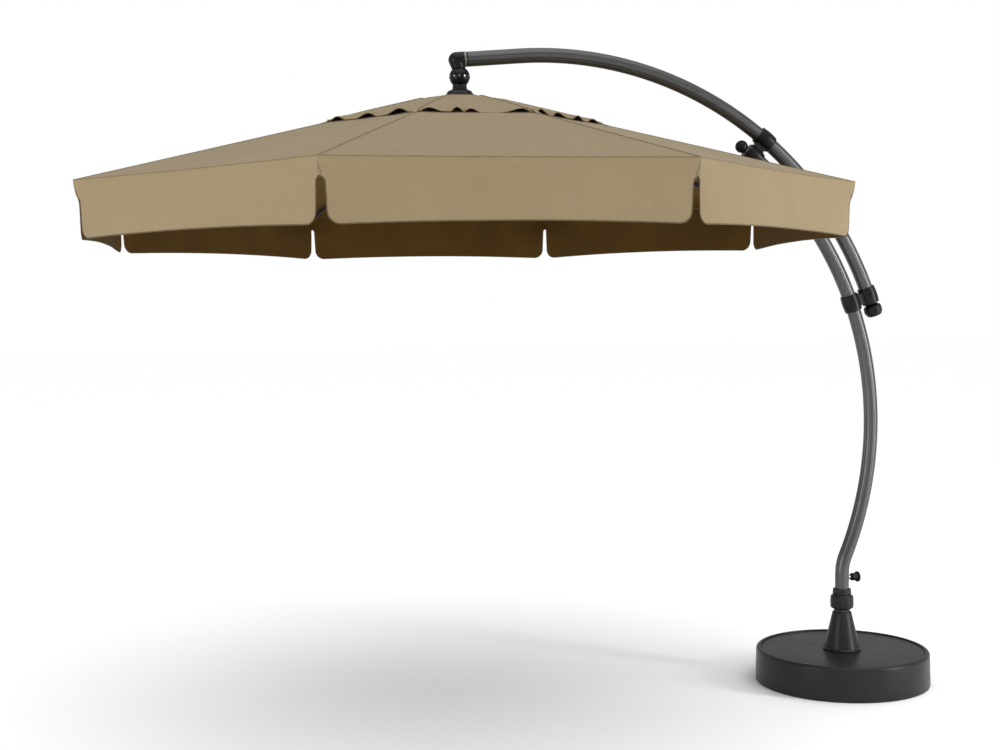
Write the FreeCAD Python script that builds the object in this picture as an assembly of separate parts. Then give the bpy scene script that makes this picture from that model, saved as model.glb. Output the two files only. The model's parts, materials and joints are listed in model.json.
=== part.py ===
import FreeCAD, Part
import math
import os

# Cantilever parasol, millimetres, +Z up. The origin is the centre of the base's underside, the mast and
# the arm lie in the XZ plane, and the canopy hangs on the -X side of the mast.

# ---- arc that the mast and the arm share, so that the arm can slide round it ----
ARC_X = -1491.0
ARC_Z = 1297.0
MAST_ARC = 1651.0
ARM_ARC = 1753.0
TUBE_R = 34.0
TUBE_WALL = 2.5
FLUTE_R = 2.6
FLUTE_COUNT = 10
MAST_BEND = 240.0
MAST_BOTTOM = 304.0
MAST_TOP_ANGLE = 51.9
UPPER_BRACKET_ANGLE = 52.4
LOWER_BRACKET_ANGLE = 21.1
ARM_FOOT_ANGLE = 21.6
ARM_STRAIGHT_ANGLE = 95.6

# ---- base ----
BASE_R = 427.0
BASE_TOP_R = 423.0
BASE_H = 167.0
BASE_WALL = 6.0
LID_R = 398.0
LID_Z = 161.0
LID_DISH = 2.0
BALLAST_TOP = 100.0
CONE_FOOT_R = 87.0
CONE_HEAD_R = 46.0
CONE_TOP = 352.0
SOCKET_R = 28.0
SOCKET_BORE = 24.0
SOCKET_TOP = 552.0
COLLET_R = 38.0
NUT_R = 57.0
NUT_BOTTOM = 363.0
NUT_TOP = 436.0
FOOT_SCREW_Z = 520.0

# ---- brackets that join the mast and the arm ----
BARREL_HALF = 42.0
BARREL_END_R = 42.0
BARREL_MID_R = 45.5
LINER_GAP = 0.4
LINER_R = 37.5
CAM_ABOVE = 3.0
CAM_R = 10.0
CAM_OFFSET = 1.0
SHOE_R = 7.0
RUN_FIT = 0.06

# ---- ball joint and crown, on the canopy's axis ----
HUB_X = -1944.0
ARM_HEAD_X = -1910.0
ELBOW_X = -1959.0
ELBOW_R = 35.5
BALL_Z = 2936.0
BALL_R = 47.0
BALL_WALL = 5.0
NECK_R = 32.0
FLANGE_R = 68.0
FLANGE_Z = 2841.0
CROWN_R = 146.0
CROWN_LOW = 2803.0
CROWN_TOP = 2838.2
PIVOT_R = 100.0
POLE_R = 20.0
POLE_END = 2290.0

# ---- canopy ----
CANOPY_R = 1750.0
EAVE_Z = 2404.0
PEAK_Z = 2867.0
RIB_COUNT = 8
FIRST_RIB = 14.6
EAVE_DIP = 22.0
HOLE_R = 420.0
CAP_R = 650.0
CAP_LIFT = 13.0
CAP_PLATEAU_R = 166.0
CAP_PLATEAU_Z = 2840.8
VALANCE = 234.0
SLIT_TOP = 72.0
SLIT_HALF = 16.0
CLOTH = 2.0
SEAM_GAP = 0.6
RIB_HALF_WIDTH = 6.0
RIB_HALF_HEIGHT = 10.0
RIB_GAP = 1.5
STRUT_ARM = 235.0
STRUT_PLATE = 3.0
LUG_PIN_HALF = 6.2

V = FreeCAD.Vector
ARC_CENTRE = V(ARC_X, 0, ARC_Z)
SECTOR = 360.0 / RIB_COUNT
RIB_SLOPE = math.atan2(PEAK_Z - EAVE_Z, CANOPY_R)
PIVOT_Z = PEAK_Z - PIVOT_R * math.tan(RIB_SLOPE) - CLOTH - RIB_HALF_HEIGHT / math.cos(RIB_SLOPE) - RIB_GAP


# ---------------------------------------------------------------- small helpers
def save(name, shape):
    """Write one node's STEP file."""
    shape.exportStep("parts/" + name + ".step")


def placed(shape, origin, x_axis, y_axis, z_axis):
    """Carry a shape from its own axes to the given ones."""
    matrix = FreeCAD.Matrix(
        x_axis.x, y_axis.x, z_axis.x, origin.x,
        x_axis.y, y_axis.y, z_axis.y, origin.y,
        x_axis.z, y_axis.z, z_axis.z, origin.z,
        0, 0, 0, 1)
    out = shape.copy()
    out.Placement = FreeCAD.Placement(matrix).multiply(shape.Placement)
    return out


def rounded_wire(points):
    """A closed wire in the XZ plane through (x, z, corner radius) points."""
    corners = [(V(x, 0, z), radius) for x, z, radius in points]
    starts, ends, middles = [], [], []
    for index, (corner, radius) in enumerate(corners):
        before = corners[index - 1][0].sub(corner).normalize()
        after = corners[(index + 1) % len(corners)][0].sub(corner).normalize()
        half = before.getAngle(after) / 2
        reach = radius / math.tan(half)
        bisector = before.add(after)
        starts.append(corner.add(before * reach))
        ends.append(corner.add(after * reach))
        if radius:
            bisector.normalize()
            middles.append(corner.add(bisector * (radius / math.sin(half) - radius)))
        else:
            middles.append(corner)
    edges = []
    for index, (_, radius) in enumerate(corners):
        if radius:
            edges.append(Part.Arc(starts[index], middles[index], ends[index]).toShape())
        following = starts[(index + 1) % len(corners)]
        if ends[index].distanceToPoint(following) > 1e-6:
            edges.append(Part.LineSegment(ends[index], following).toShape())
    return Part.Wire(edges)


def turned(points, centre=V(0, 0, 0)):
    """A solid of revolution about the Z axis from (radius, height, corner radius) points."""
    solid = Part.Face(rounded_wire(points)).revolve(V(0, 0, 0), V(0, 0, 1), 360)
    solid.translate(centre)
    return solid


def rod(radius, start, end):
    """A round bar between two points."""
    run = end.sub(start)
    return Part.makeCylinder(radius, run.Length, start, run)


def pipe(outer, inner, low, high):
    """A round tube about the Z axis."""
    bar = Part.makeCylinder(outer, high - low, V(0, 0, low))
    return bar.cut(Part.makeCylinder(inner, high - low + 2, V(0, 0, low - 1)))


def block(low, high):
    """A box between two corners."""
    return Part.makeBox(high.x - low.x, high.y - low.y, high.z - low.z, low)


def arc_axes(angle):
    """Outward direction, sideways direction and forward direction at an angle round the arc."""
    turn = math.radians(angle)
    out = V(math.cos(turn), 0, math.sin(turn))
    ahead = V(-math.sin(turn), 0, math.cos(turn))
    return out, V(0, 1, 0), ahead


def arc_point(angle, radius):
    """A point on the shared arc's plane."""
    return ARC_CENTRE.add(arc_axes(angle)[0] * radius)


def at_arc(shape, angle, radius):
    """Carry a shape with X outward and Z along the tube to its place on the arc."""
    return placed(shape, arc_point(angle, radius), *arc_axes(angle))


def round_section(radius):
    """A plain round face in the XY plane."""
    return Part.Face(Part.Wire(Part.makeCircle(radius)))


def tube_section():
    """The fluted tube's face: a ring with shallow lengthwise grooves in its outside."""
    face = round_section(TUBE_R).cut(round_section(TUBE_R - TUBE_WALL))
    for index in range(FLUTE_COUNT):
        turn = math.radians(index * 360.0 / FLUTE_COUNT + 18)
        centre = V(TUBE_R * math.cos(turn), TUBE_R * math.sin(turn), 0)
        groove = Part.Face(Part.Wire(Part.makeCircle(FLUTE_R / 2, centre)))
        face = face.cut(groove)
    return face.Faces[0]


def arc_bar(face, first, last, radius):
    """Sweep a face round the shared arc between two angles."""
    start = at_arc(face, first, radius)
    return start.revolve(ARC_CENTRE, V(0, -1, 0), last - first)


def to_rib(shape, index):
    """Carry a shape from the rib's own frame, X outward from the canopy's axis, to rib number index."""
    out = shape.copy()
    out.rotate(V(0, 0, 0), V(0, 0, 1), FIRST_RIB + index * SECTOR)
    out.translate(V(HUB_X, 0, 0))
    return out


# ---------------------------------------------------------------- base
def base_tub():
    """Fillable tub: round wall, flat floor and a rounded rim with a shelf for the lid."""
    inner = BASE_TOP_R - BASE_WALL
    return turned([
        (0, 0, 0), (BASE_R, 0, 8), (BASE_TOP_R, BASE_H, 16), (LID_R + 1, BASE_H, 4),
        (LID_R + 1, LID_Z - 8, 0), (LID_R - 12, LID_Z - 8, 0), (LID_R - 12, LID_Z - 12, 0),
        (inner, LID_Z - 12, 0), (inner, BASE_WALL, 6), (0, BASE_WALL, 0)])


def base_lid():
    """Dished lid that lies in the tub's rim, open in the middle for the cone."""
    return turned([
        (COLLET_R + 30, LID_Z - 7, 0), (LID_R, LID_Z - 7.8, 0), (LID_R, LID_Z, 3),
        (CONE_FOOT_R + 60, LID_Z - LID_DISH, 60), (COLLET_R + 30, LID_Z - LID_DISH + 1, 0)])


def cross_arms(height, width, reach, low):
    """Four flat bars and a round plate, lying at one height."""
    plate = Part.makeCylinder(90, height, V(0, 0, low))
    for index in range(2):
        bar = block(V(-reach, -width / 2, low), V(reach, width / 2, low + height))
        bar.rotate(V(0, 0, 0), V(0, 0, 1), 45 + 90 * index)
        plate = plate.fuse(bar)
    return plate.removeSplitter()


def cross_frame():
    """Flat steel cross on the tub's floor that carries the socket tube."""
    return cross_arms(8, 50, 380, BASE_WALL)


def ballast_fill():
    """Ballast packed round the cross and the socket tube."""
    fill = pipe(BASE_TOP_R - BASE_WALL - 9, 106, BASE_WALL + 0.2, BALLAST_TOP)
    return fill.cut(cross_arms(9, 51, 382, BASE_WALL))


def socket_tube():
    """Steel socket: tube with four gussets at its foot and a welded collar that carries the mast."""
    low = BASE_WALL + 8
    tube = Part.makeCylinder(SOCKET_R, SOCKET_TOP - low, V(0, 0, low))
    tube = tube.fuse(Part.makeCylinder(SOCKET_R + 6, 8, V(0, 0, 292)))
    gusset = Part.Face(rounded_wire([
        (SOCKET_R - 2, low, 0), (88, low, 0), (88, low + 12, 0), (SOCKET_R - 2, low + 110, 0)]))
    gusset = gusset.extrude(V(0, 6, 0))
    gusset.translate(V(0, -3, 0))
    for index in range(4):
        fin = gusset.copy()
        fin.rotate(V(0, 0, 0), V(0, 0, 1), 45 + 90 * index)
        tube = tube.fuse(fin)
    return tube.cut(Part.makeCylinder(SOCKET_BORE, SOCKET_TOP, V(0, 0, low - 1))).removeSplitter()


def base_cone():
    """Moulded cone that covers the socket's foot and holds the collet."""
    wall = 4.0
    foot = LID_Z
    return turned([
        (CONE_FOOT_R + 6, foot, 0), (CONE_FOOT_R + 6, foot + 6, 2), (CONE_FOOT_R, foot + 12, 6),
        (CONE_HEAD_R + 1, CONE_TOP - 6, 3), (CONE_HEAD_R - 3, CONE_TOP, 2), (COLLET_R, CONE_TOP, 0),
        (COLLET_R, CONE_TOP - 30, 0), (CONE_HEAD_R + 8 - wall, CONE_TOP - 34, 0),
        (CONE_FOOT_R - wall, foot, 0)])


def clamp_collet():
    """Slit sleeve round the mast's foot that the nut squeezes."""
    low, high = CONE_TOP - 29, 404.0
    sleeve = pipe(COLLET_R - 0.05, TUBE_R + 0.3, low, high)
    for index in range(2):
        slit = block(V(-50, -1.5, CONE_TOP + 4), V(50, 1.5, high + 1))
        slit.rotate(V(0, 0, 0), V(0, 0, 1), 45 + 90 * index)
        sleeve = sleeve.cut(slit)
    return sleeve


def clamp_nut():
    """Ribbed ring nut on the collet."""
    nut = turned([
        (COLLET_R + 0.4, NUT_BOTTOM, 0), (NUT_R - 15, NUT_BOTTOM, 2), (NUT_R - 1, NUT_BOTTOM + 9, 3),
        (NUT_R, NUT_BOTTOM + 34, 60), (NUT_R - 1, NUT_TOP - 10, 3), (NUT_R - 11, NUT_TOP, 2),
        (TUBE_R + 1, NUT_TOP, 0), (TUBE_R + 1, 408, 0), (COLLET_R + 0.4, 405, 0)])
    scallop = Part.makeCylinder(6, 40, V(NUT_R + 4, 0, NUT_BOTTOM + 16))
    for index in range(12):
        cut = scallop.copy()
        cut.rotate(V(0, 0, 0), V(0, 0, 1), index * 30 + 15)
        nut = nut.cut(cut)
    return nut


# ---------------------------------------------------------------- mast
def mast_bend_height():
    """Height where the mast's straight foot meets its small bend."""
    across = MAST_BEND - ARC_X
    return ARC_Z - math.sqrt((MAST_ARC + MAST_BEND) ** 2 - across ** 2)


def mast_tube():
    """Fluted tube: straight foot, small bend outward, then the long arc."""
    section = tube_section()
    bend_z = mast_bend_height()
    turn = math.degrees(math.asin((ARC_Z - bend_z) / (MAST_ARC + MAST_BEND)))
    foot = section.copy()
    foot.translate(V(0, 0, MAST_BOTTOM))
    foot = foot.extrude(V(0, 0, bend_z - MAST_BOTTOM))
    start = section.copy()
    start.translate(V(0, 0, bend_z))
    bend = start.revolve(V(MAST_BEND, 0, bend_z), V(0, 1, 0), turn)
    bow = arc_bar(section, -turn, MAST_TOP_ANGLE, MAST_ARC)
    tube = foot.fuse(bend).fuse(bow)
    return tube.cut(rod(5.3, V(20, 0, FOOT_SCREW_Z), V(60, 0, FOOT_SCREW_Z)))


def foot_ring():
    """Ring clamped round the mast's foot above the nut."""
    return turned([
        (TUBE_R + 0.05, 440, 0), (46, 440, 2), (44.5, 464, 2), (TUBE_R + 0.05, 467, 0)])


def swivel_bushes():
    """Two bushes in the mast's foot that turn on the socket tube, the lower one with a flange."""
    inner = SOCKET_R + RUN_FIT
    outer = TUBE_R - TUBE_WALL - 0.05
    lower = turned([
        (inner, 300.1, 0), (TUBE_R, 300.1, 0), (TUBE_R, MAST_BOTTOM - 0.05, 0),
        (outer, MAST_BOTTOM - 0.05, 0), (outer, 340, 0), (inner, 340, 0)])
    upper = pipe(outer, inner, 470, 505)
    return Part.makeCompound([lower, upper])


def foot_nut():
    """Threaded insert in the mast's wall for the foot screw."""
    insert = rod(9, V(TUBE_R + 0.3, 0, FOOT_SCREW_Z), V(44, 0, FOOT_SCREW_Z))
    insert = insert.fuse(rod(5.25, V(TUBE_R - TUBE_WALL, 0, FOOT_SCREW_Z), V(40, 0, FOOT_SCREW_Z)))
    return insert.cut(rod(4 + RUN_FIT, V(20, 0, FOOT_SCREW_Z), V(60, 0, FOOT_SCREW_Z)))


def foot_knob():
    """Spool-shaped hand knob of the foot screw."""
    knob = turned([(0, 48, 0), (16, 48, 3), (19, 54, 4), (19, 78, 3), (26, 80, 3), (26, 92, 4), (0, 92, 0)])
    knob = knob.cut(Part.makeCylinder(4, 20, V(0, 0, 47)))
    return placed(knob, V(0, 0, FOOT_SCREW_Z), V(0, 0, -1), V(0, 1, 0), V(1, 0, 0))


def foot_screw():
    """Clamp screw that bears on the socket tube through the mast's wall."""
    return rod(4, V(SOCKET_R + 0.3, 0, FOOT_SCREW_Z), V(66.9, 0, FOOT_SCREW_Z))


# ---------------------------------------------------------------- brackets
def barrel(half):
    """Crowned round body about the Z axis."""
    return turned([
        (0, -half, 0), (BARREL_END_R, -half, 3), (BARREL_MID_R, 0, 180), (BARREL_END_R, half, 3), (0, half, 0)])


def bracket(angle, socket_arc, collar_arc, knob_side):
    """Cast bracket: a socket on one tube's end, a collar round the other tube, and a waisted web.

    The knob's cam sits in the socket on the side that knob_side gives, and the shoe's bore leads from
    there to the collar.
    """
    reach = collar_arc - socket_arc
    side = math.copysign(1, reach)
    socket = at_arc(barrel(BARREL_HALF), angle, socket_arc)
    collar = at_arc(barrel(BARREL_HALF), angle, collar_arc)
    web = block(V(0, -21, -BARREL_HALF + 1), V(abs(reach), 21, BARREL_HALF - 1))
    for end in (-1, 1):
        notch = Part.makeCylinder(19, 60, V(abs(reach) / 2, -30, end * (BARREL_HALF + 2)), V(0, 1, 0))
        web = web.cut(notch)
    if side < 0:
        web.rotate(V(0, 0, 0), V(0, 0, 1), 180)
    body = socket.fuse(collar).fuse(at_arc(web, angle, socket_arc))
    swing = math.degrees(BARREL_HALF / socket_arc) + 1
    body = body.cut(arc_bar(round_section(LINER_R), angle - swing, angle + swing, collar_arc))
    tube_end = MAST_TOP_ANGLE if knob_side > 0 else ARM_FOOT_ANGLE
    first, last = sorted((tube_end, angle - knob_side * swing))
    body = body.cut(arc_bar(round_section(TUBE_R + 0.05), first, last, socket_arc))
    cavity = Part.makeCylinder(13, 20, V(0, 0, knob_side * CAM_ABOVE - 10))
    hole = rod(6 + RUN_FIT, V(0, 0, 0), V(0, 0, knob_side * 60))
    bore = rod(SHOE_R + RUN_FIT, V(0, 0, knob_side * CAM_ABOVE), V(reach, 0, knob_side * CAM_ABOVE))
    for cut in (cavity, hole, bore):
        body = body.cut(at_arc(cut, angle, socket_arc))
    return body.removeSplitter()


def liner(angle, socket_arc, collar_arc, knob_side):
    """Plastic sleeve inside the collar that the sliding tube runs in."""
    swing = math.degrees((BARREL_HALF - 1) / collar_arc)
    outer = arc_bar(round_section(LINER_R - 0.05), angle - swing, angle + swing, collar_arc)
    inner = arc_bar(round_section(TUBE_R + LINER_GAP), angle - swing - 1, angle + swing + 1, collar_arc)
    height = knob_side * CAM_ABOVE
    bore = rod(SHOE_R + RUN_FIT, V(0, 0, height), V(collar_arc - socket_arc, 0, height))
    return outer.cut(inner).cut(at_arc(bore, angle, socket_arc))


def brake_shoe(angle, socket_arc, collar_arc, knob_side):
    """Peg that the cam presses against the sliding tube."""
    side = math.copysign(1, collar_arc - socket_arc)
    start = side * (CAM_R + CAM_OFFSET + LINER_GAP)
    height = knob_side * CAM_ABOVE
    peg = rod(SHOE_R, V(start, 0, height), V(collar_arc - socket_arc, 0, height))
    swing = math.degrees(BARREL_HALF / collar_arc)
    tube = arc_bar(round_section(TUBE_R + LINER_GAP), angle - swing, angle + swing, collar_arc)
    return at_arc(peg, angle, socket_arc).cut(tube)


def cam_spindle(angle, socket_arc, collar_arc, knob_side):
    """Steel spindle of a knob, with the eccentric that works the shoe."""
    side = math.copysign(1, collar_arc - socket_arc)
    shaft = rod(6, V(0, 0, knob_side * -6), V(0, 0, knob_side * 61.9))
    cam = Part.makeCylinder(CAM_R, 17, V(side * CAM_OFFSET, 0, knob_side * CAM_ABOVE - 8.5))
    return at_arc(shaft.fuse(cam), angle, socket_arc)


def upper_knob():
    """Ball knob on the mast's head."""
    ball = Part.makeSphere(30.5, V(0, 0, 74))
    ball = ball.common(Part.makeCylinder(40, 60, V(0, 0, 48)))
    ball = ball.cut(Part.makeCylinder(6.02, 20, V(0, 0, 42)))
    return at_arc(ball, UPPER_BRACKET_ANGLE, MAST_ARC)


def lower_knob():
    """Lobed hand knob on the arm's foot."""
    knob = turned([(0, -108, 0), (34, -108, 14), (45, -84, 16), (43, -58, 12), (24, -46, 6), (0, -46, 0)])
    flute = Part.makeCylinder(13, 80, V(54, 0, -118))
    for index in range(6):
        cut = flute.copy()
        cut.rotate(V(0, 0, 0), V(0, 0, 1), index * 60)
        knob = knob.cut(cut)
    knob = knob.cut(Part.makeCylinder(6.02, 20, V(0, 0, -62)))
    return at_arc(knob, LOWER_BRACKET_ANGLE, ARM_ARC)


# ---------------------------------------------------------------- arm and ball joint
def arm_end(x):
    """Point at x on the axis of the arm's straight end, which runs on from the arc."""
    start = arc_point(ARM_STRAIGHT_ANGLE, ARM_ARC)
    ahead = arc_axes(ARM_STRAIGHT_ANGLE)[2]
    return start.add(ahead * ((x - start.x) / ahead.x))


def arm_tube():
    """Fluted tube of the arm: the long arc and a straight end."""
    section = tube_section()
    bow = arc_bar(section, ARM_FOOT_ANGLE, ARM_STRAIGHT_ANGLE, ARM_ARC)
    start = at_arc(section, ARM_STRAIGHT_ANGLE, ARM_ARC)
    straight = start.extrude(arm_end(ARM_HEAD_X).sub(arm_end(start.BoundBox.Center.x)))
    return bow.fuse(straight)


def elbow():
    """Cast elbow on the arm's head, with the fork that carries the gimbal cross inside the ball."""
    corner = arm_end(ELBOW_X)
    body = rod(ELBOW_R, arm_end(HUB_X + 14), corner)
    body = body.fuse(rod(ELBOW_R - 2.5, arm_end(ARM_HEAD_X - 0.2), corner))
    body = body.fuse(rod(ELBOW_R, arm_end(HUB_X + 27), arm_end(HUB_X + 17)))
    body = body.fuse(Part.makeSphere(ELBOW_R, corner))
    leg_foot = V(HUB_X, 0, BALL_Z + 25)
    leg = corner.sub(leg_foot)
    body = body.fuse(Part.makeCone(29, ELBOW_R, leg.Length, leg_foot, leg))
    body = body.cut(Part.makeSphere(BALL_R + 0.8, V(HUB_X, 0, BALL_Z)))
    plug = rod(TUBE_R - TUBE_WALL - 0.05, arm_end(ARM_HEAD_X + 60), arm_end(HUB_X + 20))
    stem = rod(6.5, V(HUB_X, 0, BALL_Z + 20), V(HUB_X, 0, BALL_Z + 52))
    yoke = block(V(HUB_X - 8, -20, BALL_Z + 14), V(HUB_X + 8, 20, BALL_Z + 22))
    body = body.fuse(plug).fuse(stem).fuse(yoke)
    for side in (-1, 1):
        cheek = block(V(HUB_X - 8, 17.5 * side - 2.5, BALL_Z - 8), V(HUB_X + 8, 17.5 * side + 2.5, BALL_Z + 22))
        body = body.fuse(cheek)
    pin = rod(5 + RUN_FIT, V(HUB_X, -30, BALL_Z), V(HUB_X, 30, BALL_Z))
    return body.cut(pin).removeSplitter()


def gimbal_cross():
    """Cross with two pairs of journals: one pair in the elbow's fork, the other in the ball's wall."""
    centre = V(HUB_X, 0, BALL_Z)
    cross = block(centre.sub(V(9, 9, 9)), centre.add(V(9, 9, 9)))
    cross = cross.fuse(rod(5, centre.sub(V(0, 20, 0)), centre.add(V(0, 20, 0))))
    return cross.fuse(rod(5, centre.sub(V(BALL_R - 1.5, 0, 0)), centre.add(V(BALL_R - 1.5, 0, 0))))


def ball_shell():
    """Hollow ball, open at the top for the fork, with the spigot that the canopy turns on."""
    centre = V(HUB_X, 0, BALL_Z)
    ball = Part.makeSphere(BALL_R, centre)
    ball = ball.fuse(Part.makeCylinder(20, 74, V(HUB_X, 0, BALL_Z - 74)))
    ball = ball.fuse(Part.makeCylinder(26, 7, V(HUB_X, 0, BALL_Z - 74)))
    ball = ball.cut(Part.makeSphere(BALL_R - BALL_WALL, centre))
    ball = ball.cut(Part.makeCylinder(23, 60, V(HUB_X, 0, BALL_Z + 10)))
    pin = rod(5 + RUN_FIT, centre.sub(V(60, 0, 0)), centre.add(V(60, 0, 0)))
    for index in range(12):
        turn = math.radians(15 + 30 * index)
        out = V(math.cos(turn), math.sin(turn), 0)
        ball = ball.cut(rod(2.5, centre.add(out * 43.5), centre.add(out * 50)))
    return ball.cut(pin)


def ball_screws():
    """Small screws round the ball's middle."""
    centre = V(HUB_X, 0, BALL_Z)
    screws = []
    for index in range(12):
        turn = math.radians(15 + 30 * index)
        out = V(math.cos(turn), math.sin(turn), 0)
        screw = rod(2.45, centre.add(out * 43.6), centre.add(out * 47.5))
        screws.append(screw.fuse(rod(3.4, centre.add(out * 47.05), centre.add(out * 48.6))))
    return Part.makeCompound(screws)


def neck():
    """Neck and domed flange that turn on the ball's spigot and clamp the cap's middle."""
    body = turned([
        (0, FLANGE_Z, 0), (FLANGE_R, FLANGE_Z, 0), (FLANGE_R, FLANGE_Z + 4, 2), (FLANGE_R - 14, FLANGE_Z + 15, 12),
        (NECK_R + 2, FLANGE_Z + 19, 4), (NECK_R, BALL_Z - 33, 0), (0, BALL_Z - 33, 0)], V(HUB_X, 0, 0))
    body = body.cut(Part.makeSphere(BALL_R + 0.5, V(HUB_X, 0, BALL_Z)))
    body = body.cut(Part.makeCylinder(20 + RUN_FIT, 80, V(HUB_X, 0, BALL_Z - 74)))
    body = body.cut(Part.makeCylinder(26.4, 8, V(HUB_X, 0, BALL_Z - 74.5)))
    for index in range(10):
        groove = Part.makeCylinder(2.2, 34, V(NECK_R + 0.8, 0, FLANGE_Z + 21))
        groove.rotate(V(0, 0, 0), V(0, 0, 1), index * 36)
        groove.translate(V(HUB_X, 0, 0))
        body = body.cut(groove)
    return body


def crown():
    """Slotted crown that the ribs are hinged in."""
    low, high = CROWN_LOW, CROWN_TOP
    body = Part.makeCylinder(CROWN_R, high - low, V(0, 0, low))
    body = body.fuse(Part.makeCylinder(30, FLANGE_Z - 0.1 - high, V(0, 0, high)))
    body = body.cut(Part.makeCylinder(POLE_R + 0.05, high - low - 4, V(0, 0, low)))
    for index in range(RIB_COUNT):
        half = RIB_HALF_WIDTH + 0.5
        slot = block(V(PIVOT_R - 13, -half, low - 1), V(CROWN_R + 5, half, high + 1))
        hole = rod(4, V(PIVOT_R, -16, PIVOT_Z), V(PIVOT_R, 16, PIVOT_Z))
        cut = slot.fuse(hole)
        cut.rotate(V(0, 0, 0), V(0, 0, 1), FIRST_RIB + index * SECTOR)
        body = body.cut(cut)
    body.translate(V(HUB_X, 0, 0))
    return body


def crown_pins():
    """The eight pins that the ribs turn on."""
    pin = rod(4 - RUN_FIT / 2, V(PIVOT_R, -15.5, PIVOT_Z), V(PIVOT_R, 15.5, PIVOT_Z))
    return Part.makeCompound([to_rib(pin, index) for index in range(RIB_COUNT)])


def open_runner_z():
    """Height of the runner's pivots with the canopy open: rib and strut make an even-sided triangle."""
    return PIVOT_Z - 2 * STRUT_ARM * math.sin(RIB_SLOPE)


def centre_pole():
    """Short pole below the crown that the runner slides on, with a closed foot and the latch's hole."""
    top = CROWN_TOP - 4.1
    body = turned([
        (0, POLE_END, 0), (POLE_R, POLE_END, 5), (POLE_R, top, 0), (POLE_R - 2, top, 0),
        (POLE_R - 2, POLE_END + 3, 0), (0, POLE_END + 3, 0)])
    body.rotate(V(0, 0, 0), V(0, 0, 1), FIRST_RIB + SECTOR / 2)
    latch = rod(5, V(0, 0, open_runner_z()), V(POLE_R + 5, 0, open_runner_z()))
    latch.rotate(V(0, 0, 0), V(0, 0, 1), FIRST_RIB + SECTOR / 2)
    body = body.cut(latch)
    body.translate(V(HUB_X, 0, 0))
    return body


def runner():
    """Runner on the pole, with a lug and a cross pin for each strut."""
    pivot_z = open_runner_z()
    body = turned([
        (0, pivot_z - 20, 0), (38, pivot_z - 20, 4), (42, pivot_z + 10, 0), (36, pivot_z + 30, 4), (0, pivot_z + 30, 0)])
    for index in range(RIB_COUNT):
        lug = block(V(30, -4.5, pivot_z - 8), V(PIVOT_R + 7, 4.5, pivot_z + 8))
        lug = lug.fuse(rod(3, V(PIVOT_R, -LUG_PIN_HALF, pivot_z), V(PIVOT_R, LUG_PIN_HALF, pivot_z)))
        lug.rotate(V(0, 0, 0), V(0, 0, 1), FIRST_RIB + index * SECTOR)
        body = body.fuse(lug)
    body = body.cut(Part.makeCylinder(POLE_R + RUN_FIT, 60, V(0, 0, pivot_z - 25)))
    latch = rod(4 + RUN_FIT, V(0, 0, pivot_z), V(60, 0, pivot_z))
    latch.rotate(V(0, 0, 0), V(0, 0, 1), FIRST_RIB + SECTOR / 2)
    body = body.cut(latch)
    body.translate(V(HUB_X, 0, 0))
    return body


def latch_pin():
    """Pull pin in the runner, whose tip stops just outside the pole's hole."""
    pivot_z = open_runner_z()
    pin = rod(4, V(POLE_R + 0.8, 0, pivot_z), V(50, 0, pivot_z))
    pin = pin.fuse(rod(9, V(44, 0, pivot_z), V(53, 0, pivot_z)))
    pin.rotate(V(0, 0, 0), V(0, 0, 1), FIRST_RIB + SECTOR / 2)
    pin.translate(V(HUB_X, 0, 0))
    return pin


# ---------------------------------------------------------------- ribs, struts and cloth
def rib(index):
    """Box-section rib, from its pin in the crown to the canopy's corner."""
    length = (CANOPY_R - 22 - PIVOT_R) / math.cos(RIB_SLOPE)
    wide, high = RIB_HALF_WIDTH, RIB_HALF_HEIGHT
    bar = block(V(0, -wide, -high), V(length, wide, high))
    bar = bar.fuse(rod(high, V(0, -wide, 0), V(0, wide, 0)))
    bar = bar.cut(block(V(14, -wide + 1.5, -high + 1.5), V(length - 20, wide - 1.5, high - 1.5)))
    bar = bar.cut(rod(4 + RUN_FIT / 2, V(0, -20, 0), V(0, 20, 0)))
    bar = bar.cut(rod(3 + RUN_FIT, V(STRUT_ARM, -20, 0), V(STRUT_ARM, 20, 0)))
    bar.rotate(V(0, 0, 0), V(0, 1, 0), math.degrees(RIB_SLOPE))
    bar.translate(V(PIVOT_R, 0, PIVOT_Z))
    return to_rib(bar.removeSplitter(), index)


def strut(index):
    """Strut of two side plates on a rivet through the rib, joined by a spacer."""
    inner = RIB_HALF_WIDTH + 0.4
    outer = inner + STRUT_PLATE
    body = rod(3, V(0, -outer - 1, 0), V(0, outer + 1, 0))
    for side in (-1, 1):
        low, high = sorted((side * inner, side * outer))
        plate = block(V(0, low, -7), V(STRUT_ARM, high, 7))
        for end in (0, STRUT_ARM):
            plate = plate.fuse(rod(7, V(end, low, 0), V(end, high, 0)))
        plate = plate.cut(rod(3.4, V(STRUT_ARM, -20, 0), V(STRUT_ARM, 20, 0)))
        body = body.fuse(plate)
    body = body.fuse(rod(4, V(STRUT_ARM * 0.7, -inner, 0), V(STRUT_ARM * 0.7, inner, 0)))
    body.rotate(V(0, 0, 0), V(0, 1, 0), 180 - math.degrees(RIB_SLOPE))
    reach = STRUT_ARM * math.cos(RIB_SLOPE)
    body.translate(V(PIVOT_R + reach, 0, PIVOT_Z - STRUT_ARM * math.sin(RIB_SLOPE)))
    return to_rib(body.removeSplitter(), index)


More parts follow.
